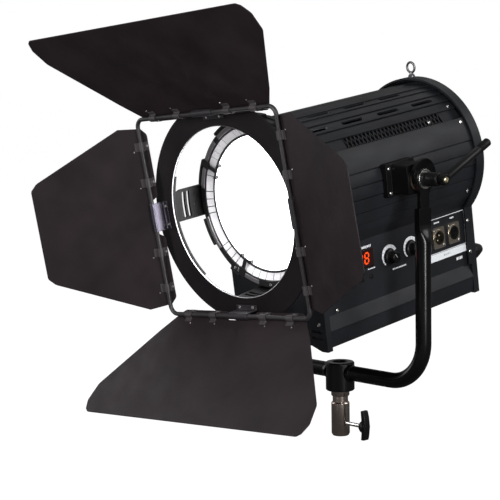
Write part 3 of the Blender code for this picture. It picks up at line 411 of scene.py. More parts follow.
def glowing(name, colour, strength, base=(0.8, 0.8, 0.8), rough=0.2):
    """A surface that gives light of its own."""
    g = Graph(name)
    fine = g.noise(500, 2.0)
    g.give("Base Color", g.mix(fine, tint(base, 0.9), base))
    g.give("Roughness", g.ramp(fine, 0.3, 0.7, rough, rough + 0.1))
    g.give("Emission Color", (*colour, 1))
    g.give("Emission Strength", strength)
    return g.material


looks = {
    "casing": paint("casing_paint", (0.0092, 0.0100, 0.0122), 0.47, 0.28, wear=0.22),
    "door": paint("door_paint", (0.0122, 0.0078, 0.0094), 0.52, 0.22, wear=0.30),
    "ring_door": paint("door_ring_paint", (0.0060, 0.0044, 0.0054), 0.52, 0.16, wear=0.30),
    "yoke": paint("yoke_paint", (0.0030, 0.0028, 0.0030), 0.20, 0.28, grain=700, depth=0.00001, wear=0.1),
    "eye": metal("eye_bolt_zinc", (0.22, 0.22, 0.23), 0.38),
    # Spigot metal: silver made warm brown, the brown being a painted reflection of brown surroundings
    "zinc": metal("spigot_metal", (0.62, 0.52, 0.46), 0.17, (1, 1, 14), 260),
    "bright": metal("bright_hardware", (0.80, 0.79, 0.76), 0.22),
    "brass": metal("passivated_zinc", (0.66, 0.60, 0.42), 0.26),
    "nickel": metal("connector_nickel", (0.78, 0.70, 0.58), 0.24, (1, 9, 1)),
    "rod_steel": metal("steel_rod", (0.62, 0.63, 0.64), 0.28, (12, 12, 1)),
    "aluminium": metal("aluminium", (0.70, 0.71, 0.72), 0.34, (1, 1, 10)),
    "ring_metal": metal("ring_satin", (0.42, 0.40, 0.42), 0.42),
    "ring_light": paint("ring_light_paint", (0.85, 0.83, 0.86), 0.40, 0.4, wear=0.1),
    "ring_dark": paint("ring_paint", (0.010, 0.010, 0.011), 0.34, 0.5, wear=0.15),
    "ear": paint("ear_paint", (0.0035, 0.0033, 0.0038), 0.38, 0.20, wear=0.3),
    "knob": plastic("black_knob", (0.0042, 0.0042, 0.0045), 0.36, 0.24),
    "plastic": plastic("black_plastic", (0.0085, 0.0085, 0.0090), 0.46),
    "fibre": plastic("fibre", (0.10, 0.075, 0.05), 0.75, 0.2, 900, 0.0001),
    "board": plastic("board", (0.02, 0.16, 0.06), 0.45),
    "filter": plastic("display_filter", (0.016, 0.004, 0.004), 0.16, 0.5, 300, 0.000002),
    # Near-white metal for the door ring's inner edge: a painted highlight of the lens light caught on that
    # edge
    "rim": metal("rim_painted_highlight", (0.85, 0.84, 0.86), 0.3),
    "rod_paint": paint("rod_paint", (0.020, 0.018, 0.019), 0.38, 0.5, wear=0.6),
    "clip": paint("clip_paint", (0.035, 0.030, 0.032), 0.45, 0.45, wear=0.5),
    "saddle_dark": paint("saddle_paint", (0.016, 0.014, 0.017), 0.40, 0.45, wear=0.5),
    # Lit copy of the saddle finish: a painted highlight for the left saddle
    "saddle_painted_highlight": metal("saddle_painted_highlight_metal", (0.13, 0.12, 0.15), 0.30),
    "rivet": metal("rivet_steel", (0.62, 0.58, 0.56), 0.3),
    "grey_ink": ink("grey_ink", (0.45, 0.46, 0.48)),
    "ink": ink("white_ink", (0.90, 0.92, 0.95)),
    "label": ink("label_film", (0.90, 0.93, 0.96)),
    "lens": glowing("lens_glass", (1.0, 0.985, 1.0), 4.0, (0.9, 0.92, 0.95), 0.08),
    "digit": glowing("digit_light", (1.0, 0.075, 0.004), 1.15, (0.3, 0.02, 0.005)),
    "phosphor": glowing("phosphor", (1.0, 0.9, 0.6), 2.0, (0.9, 0.75, 0.25), 0.5),
    # Near black: the own colour of connector inserts and label print, and painted shade on the sheet
    # behind the vent mesh
    "dark": plastic("black_and_painted_shade", (0.002, 0.002, 0.002), 0.7, 0.1),
}


def screw_head(radius, height):
    """A pan head with a cross recess, standing on the XY plane."""
    head, cross = Shape(), Shape()
    dome = [(radius, height * 0.35), (radius * 0.72, height * 0.85), (0, height)]
    head.lathe([(0, -0.4), (radius, -0.4)] + dome, steps=20)
    for turn in (20, 110):
        cross.box((radius * 1.15, radius * 0.26, height), (0, 0, height), turned(z=turn))
    single = head.plain("screw_head", WORLD)
    carve(single, cross.plain("screw_cross", WORLD))
    mesh = single.data
    bpy.data.objects.remove(single)
    return mesh


def screws(name, spots, place=HEAD, body="head", look="bright", radius=2.6, height=1.4):
    """Cross-head screws as one piece."""
    mesh = screw_head(radius, height)
    heads = Shape(place, body)
    for spot in spots:
        bm = bmesh.new()
        bm.from_mesh(mesh)
        bmesh.ops.scale(bm, vec=(1 / MM, 1 / MM, 1 / MM), verts=bm.verts)
        heads.merge(bm, spot)
    bpy.data.meshes.remove(mesh)
    return heads.piece(name, look, bevel=0)


def flutes(count, size, centre, place):
    """A cutter for grooves round a knob or a handle."""
    cuts = Shape()
    for i in range(count):
        cuts.box(size, centre, place @ turned(z=360 // count * i))
    return cuts


# Spigot, its clamp screw, the yoke and its pivots
CLAMP_Z = 19
THREAD_START, THREAD_PITCH, THREAD_TURNS = 9, 1.25, 24
THREAD_ROOT, THREAD_CREST = 2.35, 2.9
CROSS_TUBE_Z = 94.3
YOKE_TUBE = 11
BEND_RADIUS = 60
ARM_LEVELS = (190, 240, 280, 292, 296, 300, 304, 308, 312, 316, 320, 341)
FLATTENED_FROM, FLATTENED_OVER = 295, 23
FLAT_HALF_WIDTH, FLAT_HALF_THICKNESS = 12.4, 4.5
BRACKET_FACE = 119.5
LEVER_ROOT = Vector((194.5, 0, 0))
LEVER_TIP = Vector((194.5, 97, 47.5))


def make_spigot():
    shape = Shape(WORLD, "spigot")
    profile = [(8.1, 0), (11.6, 0), (13.4, 3.2), (13.4, 48), (12.7, 49.2), (11.3, 49.6), (11.3, 58.4)]
    profile += [(12.9, 59), (13.4, 60), (13.4, 92), (12, 94.6), (0, 94.6), (0, 40), (8.1, 40)]
    shape.lathe(profile)
    holes = Shape().rod((6, 0, CLAMP_Z), (20, 0, CLAMP_Z), 3.2)
    shape.piece("spigot_body", "zinc", ["spigot_adapter"], 0.4, holes)
    clamp = at(0, 0, CLAMP_Z * MM)
    profile = [(0, THREAD_START - 0.2)]
    for i in range(THREAD_TURNS):
        z = THREAD_START + i * THREAD_PITCH
        profile += [(THREAD_ROOT, z), (THREAD_CREST, z + THREAD_PITCH / 2)]
    end = THREAD_START + THREAD_TURNS * THREAD_PITCH
    rod = Shape(clamp, "clamp_screw").lathe(profile + [(THREAD_ROOT, end), (0, end)], ALONG_X, 24)
    rod.piece("clamp_screw_thread", "bright", ["clamp_screw"], 0)
    handle = Shape(clamp, "clamp_handle")
    ridge = [(44, -23.5), (49, -23.5), (51.6, -14), (53.2, 0), (51.6, 14), (49, 23.5)]
    ridge += [(44, 23.5), (45.4, 8), (45.4, -8)]
    handle.flat([ridge], (-5.6, 5.6), ACROSS_Y)
    profile = [(0, 41), (7.4, 41), (7.4, 43.6), (9.6, 44), (9.6, 46.4), (7, 47), (7, 51), (0, 51)]
    handle.lathe(profile, ALONG_X, 40)
    handle.piece("clamp_tee", "knob", ["clamp_handle"], 1.1)


def yoke_path(sign):
    points = [(sign * 19.5, 0, CROSS_TUBE_Z), (sign * 60, 0, CROSS_TUBE_Z)]
    bend = arc(BEND_RADIUS, -90, 0, 20, (YOKE_X - BEND_RADIUS, CROSS_TUBE_Z + BEND_RADIUS))
    points += [(sign * x, 0, z) for x, z in bend]
    return points + [(sign * YOKE_X, 0, z) for z in ARM_LEVELS]


def make_yoke():
    socket = Shape(WORLD, "yoke")
    profile = [(14.3, 67), (19.6, 67), (21, 68.4), (21, 107.6), (19.6, 109), (11.6, 109)]
    socket.lathe(profile + [(10.4, 107.8), (10.4, 97.5), (14.3, 97.5)])
    for i in range(5):
        socket.lathe([(10.5, 99 + 2 * i), (10.5, 98 + 2 * i), (9.9, 98.5 + 2 * i)], steps=48)
    socket.piece("yoke_socket_body", "yoke", ["yoke_socket"], 0.3)
    for side, sign in SIDES.items():
        arm = Shape(WORLD, "yoke")
        path = yoke_path(sign)
        sections = []
        for _, _, z in path:
            flatness = min(1.0, max(0.0, (z - FLATTENED_FROM) / FLATTENED_OVER))
            flatness = flatness * flatness * (3 - 2 * flatness)
            outline = []
            for u, v in circle(YOKE_TUBE, 40):
                wide = max(-FLAT_HALF_WIDTH, min(FLAT_HALF_WIDTH, v * 1.6))
                thin = max(-FLAT_HALF_THICKNESS, min(FLAT_HALF_THICKNESS, u * 1.3))
                outline.append((u + (thin - u) * flatness, v + (wide - v) * flatness))
            sections.append(outline)
        arm.sweep(path, sections, (0, 1, 0))
        weld = [(0, 20), (12.6, 20), (12.2, 23), (11.2, 25.4), (10, 26), (0, 26)]
        arm.lathe(weld, at(0, 0, CROSS_TUBE_Z) @ turned(y=90 * sign), 48)
        arm.piece("yoke_tube_" + side, "yoke", ["yoke_arm_" + side], 0.8, angle=40)
        ear = Shape(WORLD, "yoke")
        outline = arc(22.6, -46, 226, 48, (2, 386.5))
        outline += [(-10.4, 366), (-8.6, 361.5), (-8.4, 356), (-8.4, 330)]
        outline += [(10.4, 330), (10.4, 356), (10.8, 361.5), (13, 366)]
        ear.flat([outline, circle(5.3, 32, (0, PIVOT_Z))], (-3, 3), at(sign * YOKE_X, 0, 0) @ ACROSS_X)
        ear.piece("yoke_ear_" + side, "yoke", (), 0.8)


def make_pivots():
    for side, sign in SIDES.items():
        out = turned(y=90 * sign)
        block = Shape().flat([rounded(60, 47, 3, 4, (0, 0.3))], (97, BRACKET_FACE), out)
        block.flat([rounded(40, 41.5, 4, 4, (0, 0.6))], (118, 148.6), out)
        block.lathe(band(0, 18.4, 147, 150), out, 72)
        barrel = Shape().rod((0, BARREL_Y, -60), (0, BARREL_Y, 60), BARREL + 0.3, 160)
        name = "tilt_bracket_" + side
        block.piece(name + "_body", "ear", [name], 0.8, barrel)
        spots = [at(sign * BRACKET_FACE, n, f) @ out for n in (16.8, -17.2) for f in (23.5, -23.5)]
        screws(name + "_screws", spots)
        disc = Shape(PIVOT, "yoke").lathe(band(5.3, 17, 150.3, 154.7), out, 72)
        disc.piece("friction_pad_" + side, "fibre", ["friction_disc_" + side], 0.3)
    bolt = Shape().rod((124.5, 0, 0), (186, 0, 0), 5, 40)
    bolt.piece("pivot_stud_right", "rod_steel", ["pivot_bolt_right"])
    bolt = Shape().rod((-124.5, 0, 0), (-166, 0, 0), 5, 40)
    bolt.rod((-163.6, 0, 0), (-170, 0, 0), 8.4, 6)
    bolt.lathe(band(0, 12, -161.3, -163.2), ALONG_X, 48)
    bolt.rod((-170, 0, 0), (-172, 0, 0), 4.6, 32)
    bolt.piece("pivot_bolt_left_hex", "rod_steel", ["pivot_bolt_left"], 0.5)


def make_tilt_lever():
    washer = Shape(PIVOT, "yoke").lathe(band(5.3, 13.5, 161.3, 163.3), ALONG_X, 64)
    washer.piece("lever_washer_plain", "bright", ["lever_washer"])
    hub = Shape(PIVOT, "tilt_lever_hub")
    profile = [(5.3, 163.6), (10.4, 163.6), (10.4, 170), (9.8, 171), (9.4, 186), (8, 188), (5.3, 188)]
    hub.lathe(profile, ALONG_X, 56)
    hub.piece("lever_hub", "knob", ["tilt_lever_hub"], 0.4)
    lever = Shape(PIVOT, "tilt_lever")
    profile = [(2.4, 188.3), (6.6, 188.3), (7.6, 190.2), (7.6, 199), (6.8, 200.2), (5.6, 200.2)]
    lever.lathe(profile + [(5.2, 198.4), (5.2, 194.4), (2.4, 194.4)], ALONG_X, 56)
    arm = LEVER_TIP - LEVER_ROOT
    length = arm.length
    place = at(*LEVER_ROOT) @ arm.normalized().to_track_quat("Z", "X").to_matrix().to_4x4()
    profile = [(0, 5.4), (5, 5.4), (5.8, 9), (5.9, 82), (5.5, 83), (5.5, 84.5), (6, 85.5)]
    profile += [(6.1, length - 2), (5, length - 0.6), (4.2, length), (0, length)]
    lever.lathe(profile, place, 40)
    cuts = flutes(12, (1.1, 1.2, length - 84), (6.3, 0, length / 2 + 43), place)
    lever.piece("lever_arm", "knob", ["tilt_lever"], 0.3, cuts)
    spots = [at(198.6, 0, 0) @ ALONG_X]
    screw = screws("lever_cross_screw", spots, PIVOT, "tilt_lever_hub", "brass", 4.6, 2.6)
    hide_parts("lever_screw")
    shank = Shape(PIVOT, "tilt_lever_hub").rod((187, 0, 0), (199, 0, 0), 2, 24)
    shank.piece("lever_screw_shank", "rod_steel", (), 0.2)


# Casing, in head coordinates
TOP_BARREL = 108
TOP_EDGES = (41.1, 49.5, 58.4, 66.5, 73.7, 86.0)
SIDE_EDGES = (12.8, 3.2, -6.3, -16.5, -26.0, -34.2)
BAND_TOP = 31.0
SHINGLE = 1.4
GROOVE = 3.4
SLOT_ROWS = ((53.6, 0), (70.6, 0.5), (109.4, 0.5), (126.4, 0))
SLOT_PITCH = 74.5
VENT_ANGLE = 35.6
VENT_BARS, VENT_PITCH, VENT_START = 26, 7.8, -132
DISPLAY = (58, -107)
CONNECTORS = {"dmx_in": -112.6, "dmx_out": -147}
CONNECTOR_Y = -113.6
PLATE_BACK, PLATE_FRONT = 137.8, 147.7
COVER_BACK = -190.8
INLET = (-46, -150)
SWITCH = (4, -150)
FOCUS_KNOB = (64, -157)
FOOT_RELIEF = [(80, -216), (58, -208), (44, -192)]
LIP_FOOT = -168
EYE_BOLT_Z = -182


def shell(radius, degrees):
    return polar(radius, degrees, (0, BARREL_Y))


def on_shell(radius, degrees, along):
    """A frame on the barrel, with X outward and Z along the beam."""
    return at(*shell(radius, degrees), along) @ turned(z=degrees)


def shingled(edges, radius):
    """Overlapping boards, given as angles from one edge to the next. Each rises to its last edge."""
    line = []
    for start, end in zip(edges, edges[1:]):
        step = 1 if start > end else -1
        line.append(shell(radius - GROOVE, start - 0.05 * step))
        line.append(shell(radius - GROOVE, start - 0.75 * step))
        line.append(shell(radius - SHINGLE, start - 0.85 * step))
        line.append(shell(radius - SHINGLE * 0.45, (start + end) / 2))
        line.append(shell(radius, end + 0.35 * step))
        line.append(shell(radius - 0.1, end + 0.02 * step))
    return line


def side_wall():
    """The section of the right side casing."""
    outer = arc(BARREL, BAND_TOP, SIDE_EDGES[0], 12, (0, BARREL_Y))
    outer += shingled(SIDE_EDGES, BARREL)
    outer += [shell(BARREL - SHINGLE, SIDE_EDGES[-1]), shell(BARREL - SHINGLE, -39), (PANEL_X, -80)]
    outer += [(PANEL_X, -168.0), (78.6, -168.6), (79.2, -170), (86, -188), (84.8, -189), (82, -212)]
    inner = arc(BARREL - 4.6, BAND_TOP, -42, 30, (0, BARREL_Y))
    inner += [(76.6, -82), (76.6, -170), (82.6, -188), (79.4, -212)]
    return outer + inner[::-1]


def slot_outline(length, width):
    return rounded(length, width, width / 2 - 0.01, 6)


def make_casing():
    half = [shell(TOP_BARREL - 0.4, 90)] + shingled(TOP_EDGES[::-1], TOP_BARREL)
    inner = arc(TOP_BARREL - 4.2, TOP_EDGES[0], 90, 30, (0, BARREL_Y))
    cover = Shape().flat([mirrored(half[1:]) + half + inner + mirrored(inner[:-1])], SPAN)
    cuts = Shape()
    for angle, shift in SLOT_ROWS:
        for i in range(4 if shift == 0 else 3):
            spot = on_shell(TOP_BARREL, angle, (1.5 - i - shift) * SLOT_PITCH - 12)
            cuts.flat([slot_outline(46, 6.6)], (-8, 6), spot @ ALONG_X)
    cover.piece("top_cover_shingles", "casing", ["top_cover"], 0.3, cuts)
    for side, sign in SIDES.items():
        wall = side_wall() if sign > 0 else mirrored(side_wall())
        casing = Shape().flat([wall], SPAN)
        cuts = None
        if sign > 0:
            cuts = Shape().flat([rounded(57, 26, 1.5)], (74, 84), at(0, -108, DISPLAY[0]) @ ALONG_X)
            for along in CONNECTORS.values():
                cuts.rod((72, CONNECTOR_Y, along), (84, CONNECTOR_Y, along), 11.8, 48)
        casing.piece("side_ribs_" + side, "casing", ["side_casing_" + side], 0.3, cuts)
        mesh = Shape()
        for layer, slant in enumerate((1, -1)):
            for i in range(VENT_BARS):
                middle = on_shell(104 + 0.5 * layer, VENT_ANGLE, VENT_START + i * VENT_PITCH)
                mesh.box((1.1, 24, 1.5), (0, 0, 0), middle @ turned(x=slant * 24))
        for along, length in ((-158.5, 39), (101.5, 69)):
            mesh.box((1.2, 24, length), (0, 0, 0), on_shell(103.2, VENT_ANGLE, along))
        # A dark sheet behind the vent mesh: painted shade for the dark inside seen through the mesh
        painted_shade_sheet = Shape().box((1, 26, 296), (0, 0, 0), on_shell(97.5, VENT_ANGLE, -16))
        if sign < 0:
            painted_shade_sheet.mirror()
            mesh.mirror()
        painted_shade_sheet.piece("vent_painted_shade_" + side, "dark", (), 0)
        mesh.piece("vent_mesh_" + side, "casing", ["vent_grille_" + side], 0)
    floor = Shape().box((157, 2, SPAN[1] - SPAN[0]), (0, -211, sum(SPAN) / 2))
    cuts = Shape()
    for i in range(9):
        for x in (-40, 40):
            cuts.flat([slot_outline(46, 5)], (205, 215), at(x, 0, -110 + i * 14) @ turned(x=90))
    floor.piece("bottom_pan", "casing", ["bottom_plate"], 0.3, cuts)


def keyhole(radius, half_width, foot, steps=72):
    """A round top on a straight-sided box, anticlockwise."""
    meet = math.degrees(math.acos(half_width / radius))
    return arc(radius, -meet, 180 + meet, steps, (0, BARREL_Y)) + [(-half_width, foot), (half_width, foot)]


def make_front_plate():
    plate = Shape()
    outline = keyhole(114.5, 87.5, -214.6)
    plate.flat([outline, circle(96, 128, (0, OPTICAL_AXIS_Y))], (PLATE_BACK, PLATE_FRONT))
    cuts = Shape().flat([FOOT_RELIEF + mirrored(FOOT_RELIEF)], (130, 150))
    for sign in SIDES.values():
        for n in (-187, -196.5):
            cuts.flat([slot_outline(24, 4.2)], (130, 150), at(sign * 68, n, 0))
    plate.piece("front_plate_body", "casing", ["front_plate"], 0.7, cuts)
    spots = [at(sign * 76, n, PLATE_FRONT) for sign in SIDES.values() for n in (-96, -152, -176)]
    screws("front_plate_screws", spots, radius=2.4)


def make_rear_cover():
    rim = Shape()
    outline = keyhole(116, 85, -213.5)
    hollow = keyhole(110.5, 78, -208.5)
    rim.flat([outline], (COVER_BACK, -187.8))
    rim.flat([outline, hollow], (-188.4, -179.2))
    lip_outer = [(85, LIP_FOOT)] + keyhole(116, 85, 0)[:-2] + [(-85, LIP_FOOT)]
    lip_inner = [(82.6, LIP_FOOT)] + keyhole(113.2, 82.6, 0)[:-2] + [(-82.6, LIP_FOOT)]
    rim.flat([lip_outer + lip_inner[::-1]], (-180, -173))
    cuts = Shape()
    for i in range(7):
        n = OPTICAL_AXIS_Y + (i - 3) * 11
        half = math.sqrt(40**2 - (n - OPTICAL_AXIS_Y) ** 2)
        cuts.flat([slot_outline(2 * half, 6)], (-195, -186), at(0, n, 0))
    cuts.rod((*FOCUS_KNOB, -195), (*FOCUS_KNOB, -180), 4.4)
    cuts.box((24, 20, 12), (*INLET, -190))
    cuts.box((13.6, 20.4, 12), (*SWITCH, -190))
    rim.piece("rear_cover_body", "casing", ["rear_cover"], 0.7, cuts)
    places = [shell(106, a) for a in (-24, 20, 64, 116, 160, 204)]
    places += [(sign * 76, n) for sign in SIDES.values() for n in (-126, -200)]
    spots = [at(*place, COVER_BACK) @ BACKWARD for place in places]
    screws("rear_cover_screws", spots)
    plate = Shape().flat([rounded(70, 40, 2, 3, (0, -98))], (-191.3, -190.6))
    plate.piece("rating_label", "label", (), 0)
    lines = Shape()
    for i in range(5):
        lines.box((56 - 9 * (i % 3), 1.6, 0.3), (-2 - 4.5 * (i % 3), -86 - 5.6 * i, -191.4))
    lines.piece("rating_label_print", "dark", (), 0)


def make_eye_bolt():
    eye = Shape()
    top = BARREL_Y + 116
    ring = [(7.1 * x, top + 14.7 + 7.6 * y, EYE_BOLT_Z) for x, y in circle(1, 48)]
    eye.tube(ring, 1.75, (0, 0, 1), True, 16)
    collar = [(0, 0.2), (5.2, 0.2), (5.2, 2.2), (4.4, 3.2), (3.0, 5.4), (2.6, 7.2), (0, 7.2)]
    eye.lathe(collar, at(0, top, EYE_BOLT_Z) @ turned(x=-90), 40)
    eye.piece("eye_bolt_ring", "eye", ["eye_bolt"], 0)


# Optics, in beam coordinates: the same as the head's, but with the optical axis at the origin
CLIP_ANGLES = (62, 152, 243)
PANEL_JOINTS = [10, 20, 44, 50, 56, 69, 74, 84, 94, 106, 111, 125, 131, 138, 144, 160, 173, 179, 185, 190]
PANEL_JOINTS += [217, 222, 229, 234, 252, 259, 266, 274, 282, 298, 305, 318, 334, 341, 352]
RIM_ARCS = ((-168, -143), (-122, -100), (-80, -60), (-36, -13), (13, 38), (60, 82))
RIM_ARCS += ((98, 127), (132, 150), (152, 171))
TAB_ARCS = ((112, 128), (151, 170), (193, 212), (232, 241), (296, 312), (-29, -10), (10, 29), (52, 68))
LENS_EDGE = 96.4
LENS_FACE = 153.6
GROOVES = 26
EAR_ANGLES = {"right": 0, "top": 90, "left": 180, "bottom": 270}


def make_optics():
    ring = Shape(BEAM)
    profile = [(93, 148), (119, 148), (119, 158.6), (117.6, 160), (109.4, 160), (108.6, 158.4)]
    ring.lathe(profile + [(97.6, 153), (97.6, 151), (93, 151)], steps=180)
    ring.piece("lens_ring_body", "ring_dark", ["lens_ring"], 0.25)
    panels = Shape(BEAM)
    for start, end in zip(PANEL_JOINTS, PANEL_JOINTS[1:] + [PANEL_JOINTS[0] + 360]):
        proud = 0.5 if end - start < 8 else 0
        profile = [(98.2, 153.2), (108.4, 158.2), (107.9, 159.2 + proud), (97.8, 154.2 + proud)]
        panels.lathe(profile, steps=max(2, int(end - start)), start=start + 0.35, end=end - 0.35)
    panels.piece("lens_ring_panels", "ring_light", (), 0.2)
    profile = [(94.6, 153.5), (97.7, 153.5), (98.4, 154.9), (97.2, 155.6), (95.2, 155.2)]
    lip = Shape(BEAM).lathe(profile, steps=180)
    lip.piece("lens_ring_lip", "ring_dark", (), 0.15)
    rim = Shape(BEAM)
    profile = [(110.4, 159.8), (117, 159.8), (116.4, 160.9), (111, 160.9)]
    for start, end in RIM_ARCS:
        rim.lathe(profile, steps=end - start, start=start, end=end)
    rim.piece("lens_ring_rim", "ring_metal", (), 0.2)
    tabs = Shape(BEAM)
    profile = [(118.6, 149), (123.4, 149), (123.4, 159), (122.4, 161), (118.6, 161)]
    for start, end in TAB_ARCS:
        tabs.lathe(profile, steps=end - start, start=start, end=end)
    tabs.piece("lens_ring_tabs", "ring_dark", (), 0.4)
    spots = [at(*polar(114.6, a), 160.6) for a in (32, 92, 154, 236, 272, 300)]
    screws("lens_ring_screws", spots, BEAM, radius=2.5)
    lens = Shape(BEAM)
    profile = [(0, 151.4), (97.2, 151.4), (97.2, 153.2)]
    for i in range(GROOVES):
        outer = LENS_EDGE - i * 3.4
        inner = outer - 3.1
        profile += [(outer, LENS_FACE), (inner, LENS_FACE + 0.35 + 1.25 * outer / LENS_EDGE)]
        profile += [(inner - 0.3, LENS_FACE)] if i < GROOVES - 1 else []
    profile += [(4, 155.2), (0, 155.4)]
    lens.lathe(profile, steps=180)
    lens.piece("fresnel_lens_rings", "lens", ["fresnel_lens"], 0, angle=12)
    lines = Shape(BEAM)
    for inner, outer in ((93.6, 94.2), (90.2, 90.6)):
        lines.lathe(band(inner, outer, 154, 155.6), steps=180)
    lines.piece("fresnel_lens_lines", "label", (), 0)
    for i, angle in enumerate(CLIP_ANGLES):
        clip = Shape(BEAM)
        place = turned(z=angle)
        clip.box((13, 11, 2), (111.5, 0, 161.6), place)
        clip.box((20, 6, 1.6), (99, 0, 160.8), place)
        clip.box((3, 21, 1.6), (90.5, 0, 160.2), place)
        for y in (-9.5, 9.5):
            clip.lathe(band(0, 2.8, 155.8, 161.4), place @ at(90, y, 0), 20)
        clip.piece(f"lens_clip_{i + 1}_arm", "ring_dark", [f"lens_clip_{i + 1}"], 0.3)
    profile = [(120.4, 148), (123, 148), (125.6, 150), (125.6, 206.4)]
    profile += [(131, 206.6), (131, 208.6), (123.6, 208.6), (123.2, 206)]
    for side, angle in EAR_ANGLES.items():
        ear = Shape(BEAM).lathe(profile, steps=24, start=angle - 10.4, end=angle + 10.4)
        cuts = Shape()
        for along in (182, 190.4):
            cuts.flat([rounded(4.8, 37, 1.6)], (112, 132), turned(z=angle) @ at(0, 0, along) @ ALONG_X)
        cuts.flat([[(-213, -26), (-188, -26), (-213, -16.5)]], (112, 135), turned(z=angle) @ ALONG_X)
        ear.piece(f"ear_{side}", "ear", ["accessory_ear_" + side], 0.3, cuts)


# Controls on the right panel
KNOBS = {"dimmer_knob": (-3.6, -116.2), "colour_knob": (-50.6, -114.8)}
SEGMENTS = {"1": "bc", "8": "abcdefg"}
PRINT_HEIGHT = 0.14
SCALE_START, SCALE_SWEEP, SCALE_STEPS = 228, 200, 44


def on_panel(along, height, lift=0.0):
    """A frame on the panel: X to the rear, Y up, Z out."""
    return at(PANEL_X + lift, height, along) @ ALONG_X


def digit(shape, glyph, along):
    """A seven-segment figure, slanted, as thin solids."""
    half_w, half_h, bar = 3.9, 7.4, 2.2
    slots = {"a": (0, half_h, 0), "d": (0, -half_h, 0), "g": (0, 0, 0)}
    slots |= {"b": (half_w, half_h / 2, 90), "c": (half_w, -half_h / 2, 90)}
    slots |= {"e": (-half_w, -half_h / 2, 90), "f": (-half_w, half_h / 2, 90)}
    for key in SEGMENTS[glyph]:
        x, y, turn = slots[key]
        length = (half_h if turn else 2 * half_w) - 1.2
        tip, end = bar / 2, length / 2
        inset = end - tip
        hexagon = [(end, 0), (inset, tip), (-inset, tip), (-end, 0), (-inset, -tip), (inset, -tip)]
        spot = on_panel(along, DISPLAY[1], 0.35) @ at(x + 0.12 * y, y, 0) @ turned(z=turn - 6 * bool(turn))
        shape.flat([hexagon], (0, 0.35), spot)


def marks(shape, along, height, widths, tall=2.4):
    """A line of small plain bars, in place of lettering."""
    x = -(sum(widths) + 0.9 * (len(widths) - 1)) / 2
    for width in widths:
        shape.box((width, tall, 0.12), (0, 0, 0), on_panel(along, height) @ at(x + width / 2, 0, 0.06))
        x += width + 0.9


def make_controls():
    window = Shape().flat([rounded(56, 25, 1)], (-2, 0.3), on_panel(*DISPLAY))
    window.piece("display_glass", "filter", ["display_window"], 0.25)
    figures = Shape()
    digit(figures, "8", 44.4)
    digit(figures, "1", 57.6)
    digit(figures, "8", 71)
    figures.piece("display_digits", "digit", (), 0)
    for name, (along, height) in KNOBS.items():
        base = on_panel(along, height)
        knob = Shape(body=name)
        profile = [(0, 0.9), (10.6, 0.9), (11, 1.6), (11, 3.6), (9.2, 4.6), (8, 14.2), (7, 15)]
        knob.lathe(profile + [(2.4, 15), (0, 14.8)], base, 64)
        cuts = flutes(20, (1, 1, 9), (8.7, 0, 9.6), base)
        knob.piece(name + "_cap", "knob", [name], 0.2, cuts)
        line = Shape(body=name).box((0.9, 6.6, 0.4), (0, 3.6, 15.0), base @ turned(z=35))
        line.piece(name + "_line", "ink", (), 0)
        scale = Shape()
        inner, outer = [], []
        for i in range(SCALE_STEPS + 1):
            turn = SCALE_START - SCALE_SWEEP * i / SCALE_STEPS
            inner.append(polar(12.6, turn))
            outer.append(polar(14.2 + 3.4 * min(1.0, i / SCALE_STEPS * 2), turn))
        scale.flat([outer + inner[::-1]], (0, PRINT_HEIGHT), base)
        ticks = Shape()
        for i in range(11):
            ticks.box((6, 0.35, 1), (15.6, 0, 0), base @ turned(z=SCALE_START - 20 * i))
        scale.piece(name + "_scale", "ink", (), 0, ticks)
    prints = Shape()
    marks(prints, 46.5, -90.8, (3.6, 2.0, 2.6, 3.0, 2.2, 2.6, 2.4, 1.6), 3.4)
    marks(prints, 36.5, -123.4, (2.4, 1.8, 2.2, 2.6, 1.8), 1.6)
    marks(prints, -22, -135.6, (3.0, 2.2, 1.8, 2.6, 2.2, 3.2, 2.4, 2.6, 2.0), 2.2)
    marks(prints, -112, -91, (2.4, 1.8, 2.2, 2.6), 2.2)
    marks(prints, -147, -91, (2.0, 2.6, 2.0), 2.2)
    frame_line = [rounded(90, 51.4, 1.2, 3), rounded(88.2, 49.6, 0.8, 3)]
    prints.flat(frame_line, (0, PRINT_HEIGHT), on_panel(-131, -110.4))
    marks(prints, -157, -154.6, (3.4, 2.2, 3.0, 2.6), 4.2)
    prints.piece("panel_print", "ink", (), 0)
    strip = Shape().flat([rounded(88, 10.6, 0.5, 2)], (0, 0.3), on_panel(-130, -142))
    strip.piece("label_strip", "label", (), 0)
    words = Shape()
    for i, width in enumerate((3.2, 1.8, 2.4, 1.4)):
        words.box((width, 2.2, 0.12), (4 * i - 6.4, 0, 0.34), on_panel(-130, -142))
    words.piece("label_strip_print", "grey_ink", (), 0)
    collars = Shape()
    for name, along, height in (("up", 57, -135.6), ("down", 38, -134.6)):
        spot = on_panel(along, height)
        node = "address_button_" + name
        button = Shape(body=node).lathe([(0, -6), (2.6, -6), (2.6, 1.1), (2.0, 1.7), (0, 1.9)], spot, 32)
        button.piece(f"button_{name}_cap", "knob", [node], 0)
        collars.lathe([(3.0, -0.5), (4.2, -0.5), (4.0, 0.5), (3.0, 0.5)], spot, 32)
    collars.piece("button_collars", "plastic", (), 0)
    flat_spots = ((85, -101.5, -177.4), (85, -148.5, -177.4), (83.4, -163, 117))
    round_spots = ((BARREL, 28, -165), (BARREL, -27, -165), (TOP_BARREL, 44, -165))
    round_spots += ((104.6, VENT_ANGLE, -110),)
    for side, sign in SIDES.items():
        out = turned(y=90 * sign)
        spots = [at(sign * x, n, f) @ out for x, n, f in flat_spots]
        for radius, angle, along in round_spots:
            spots.append(on_shell(radius - 0.3, angle if sign > 0 else 180 - angle, along) @ ALONG_X)
        screws("side_screws_" + side, spots, radius=2.7)


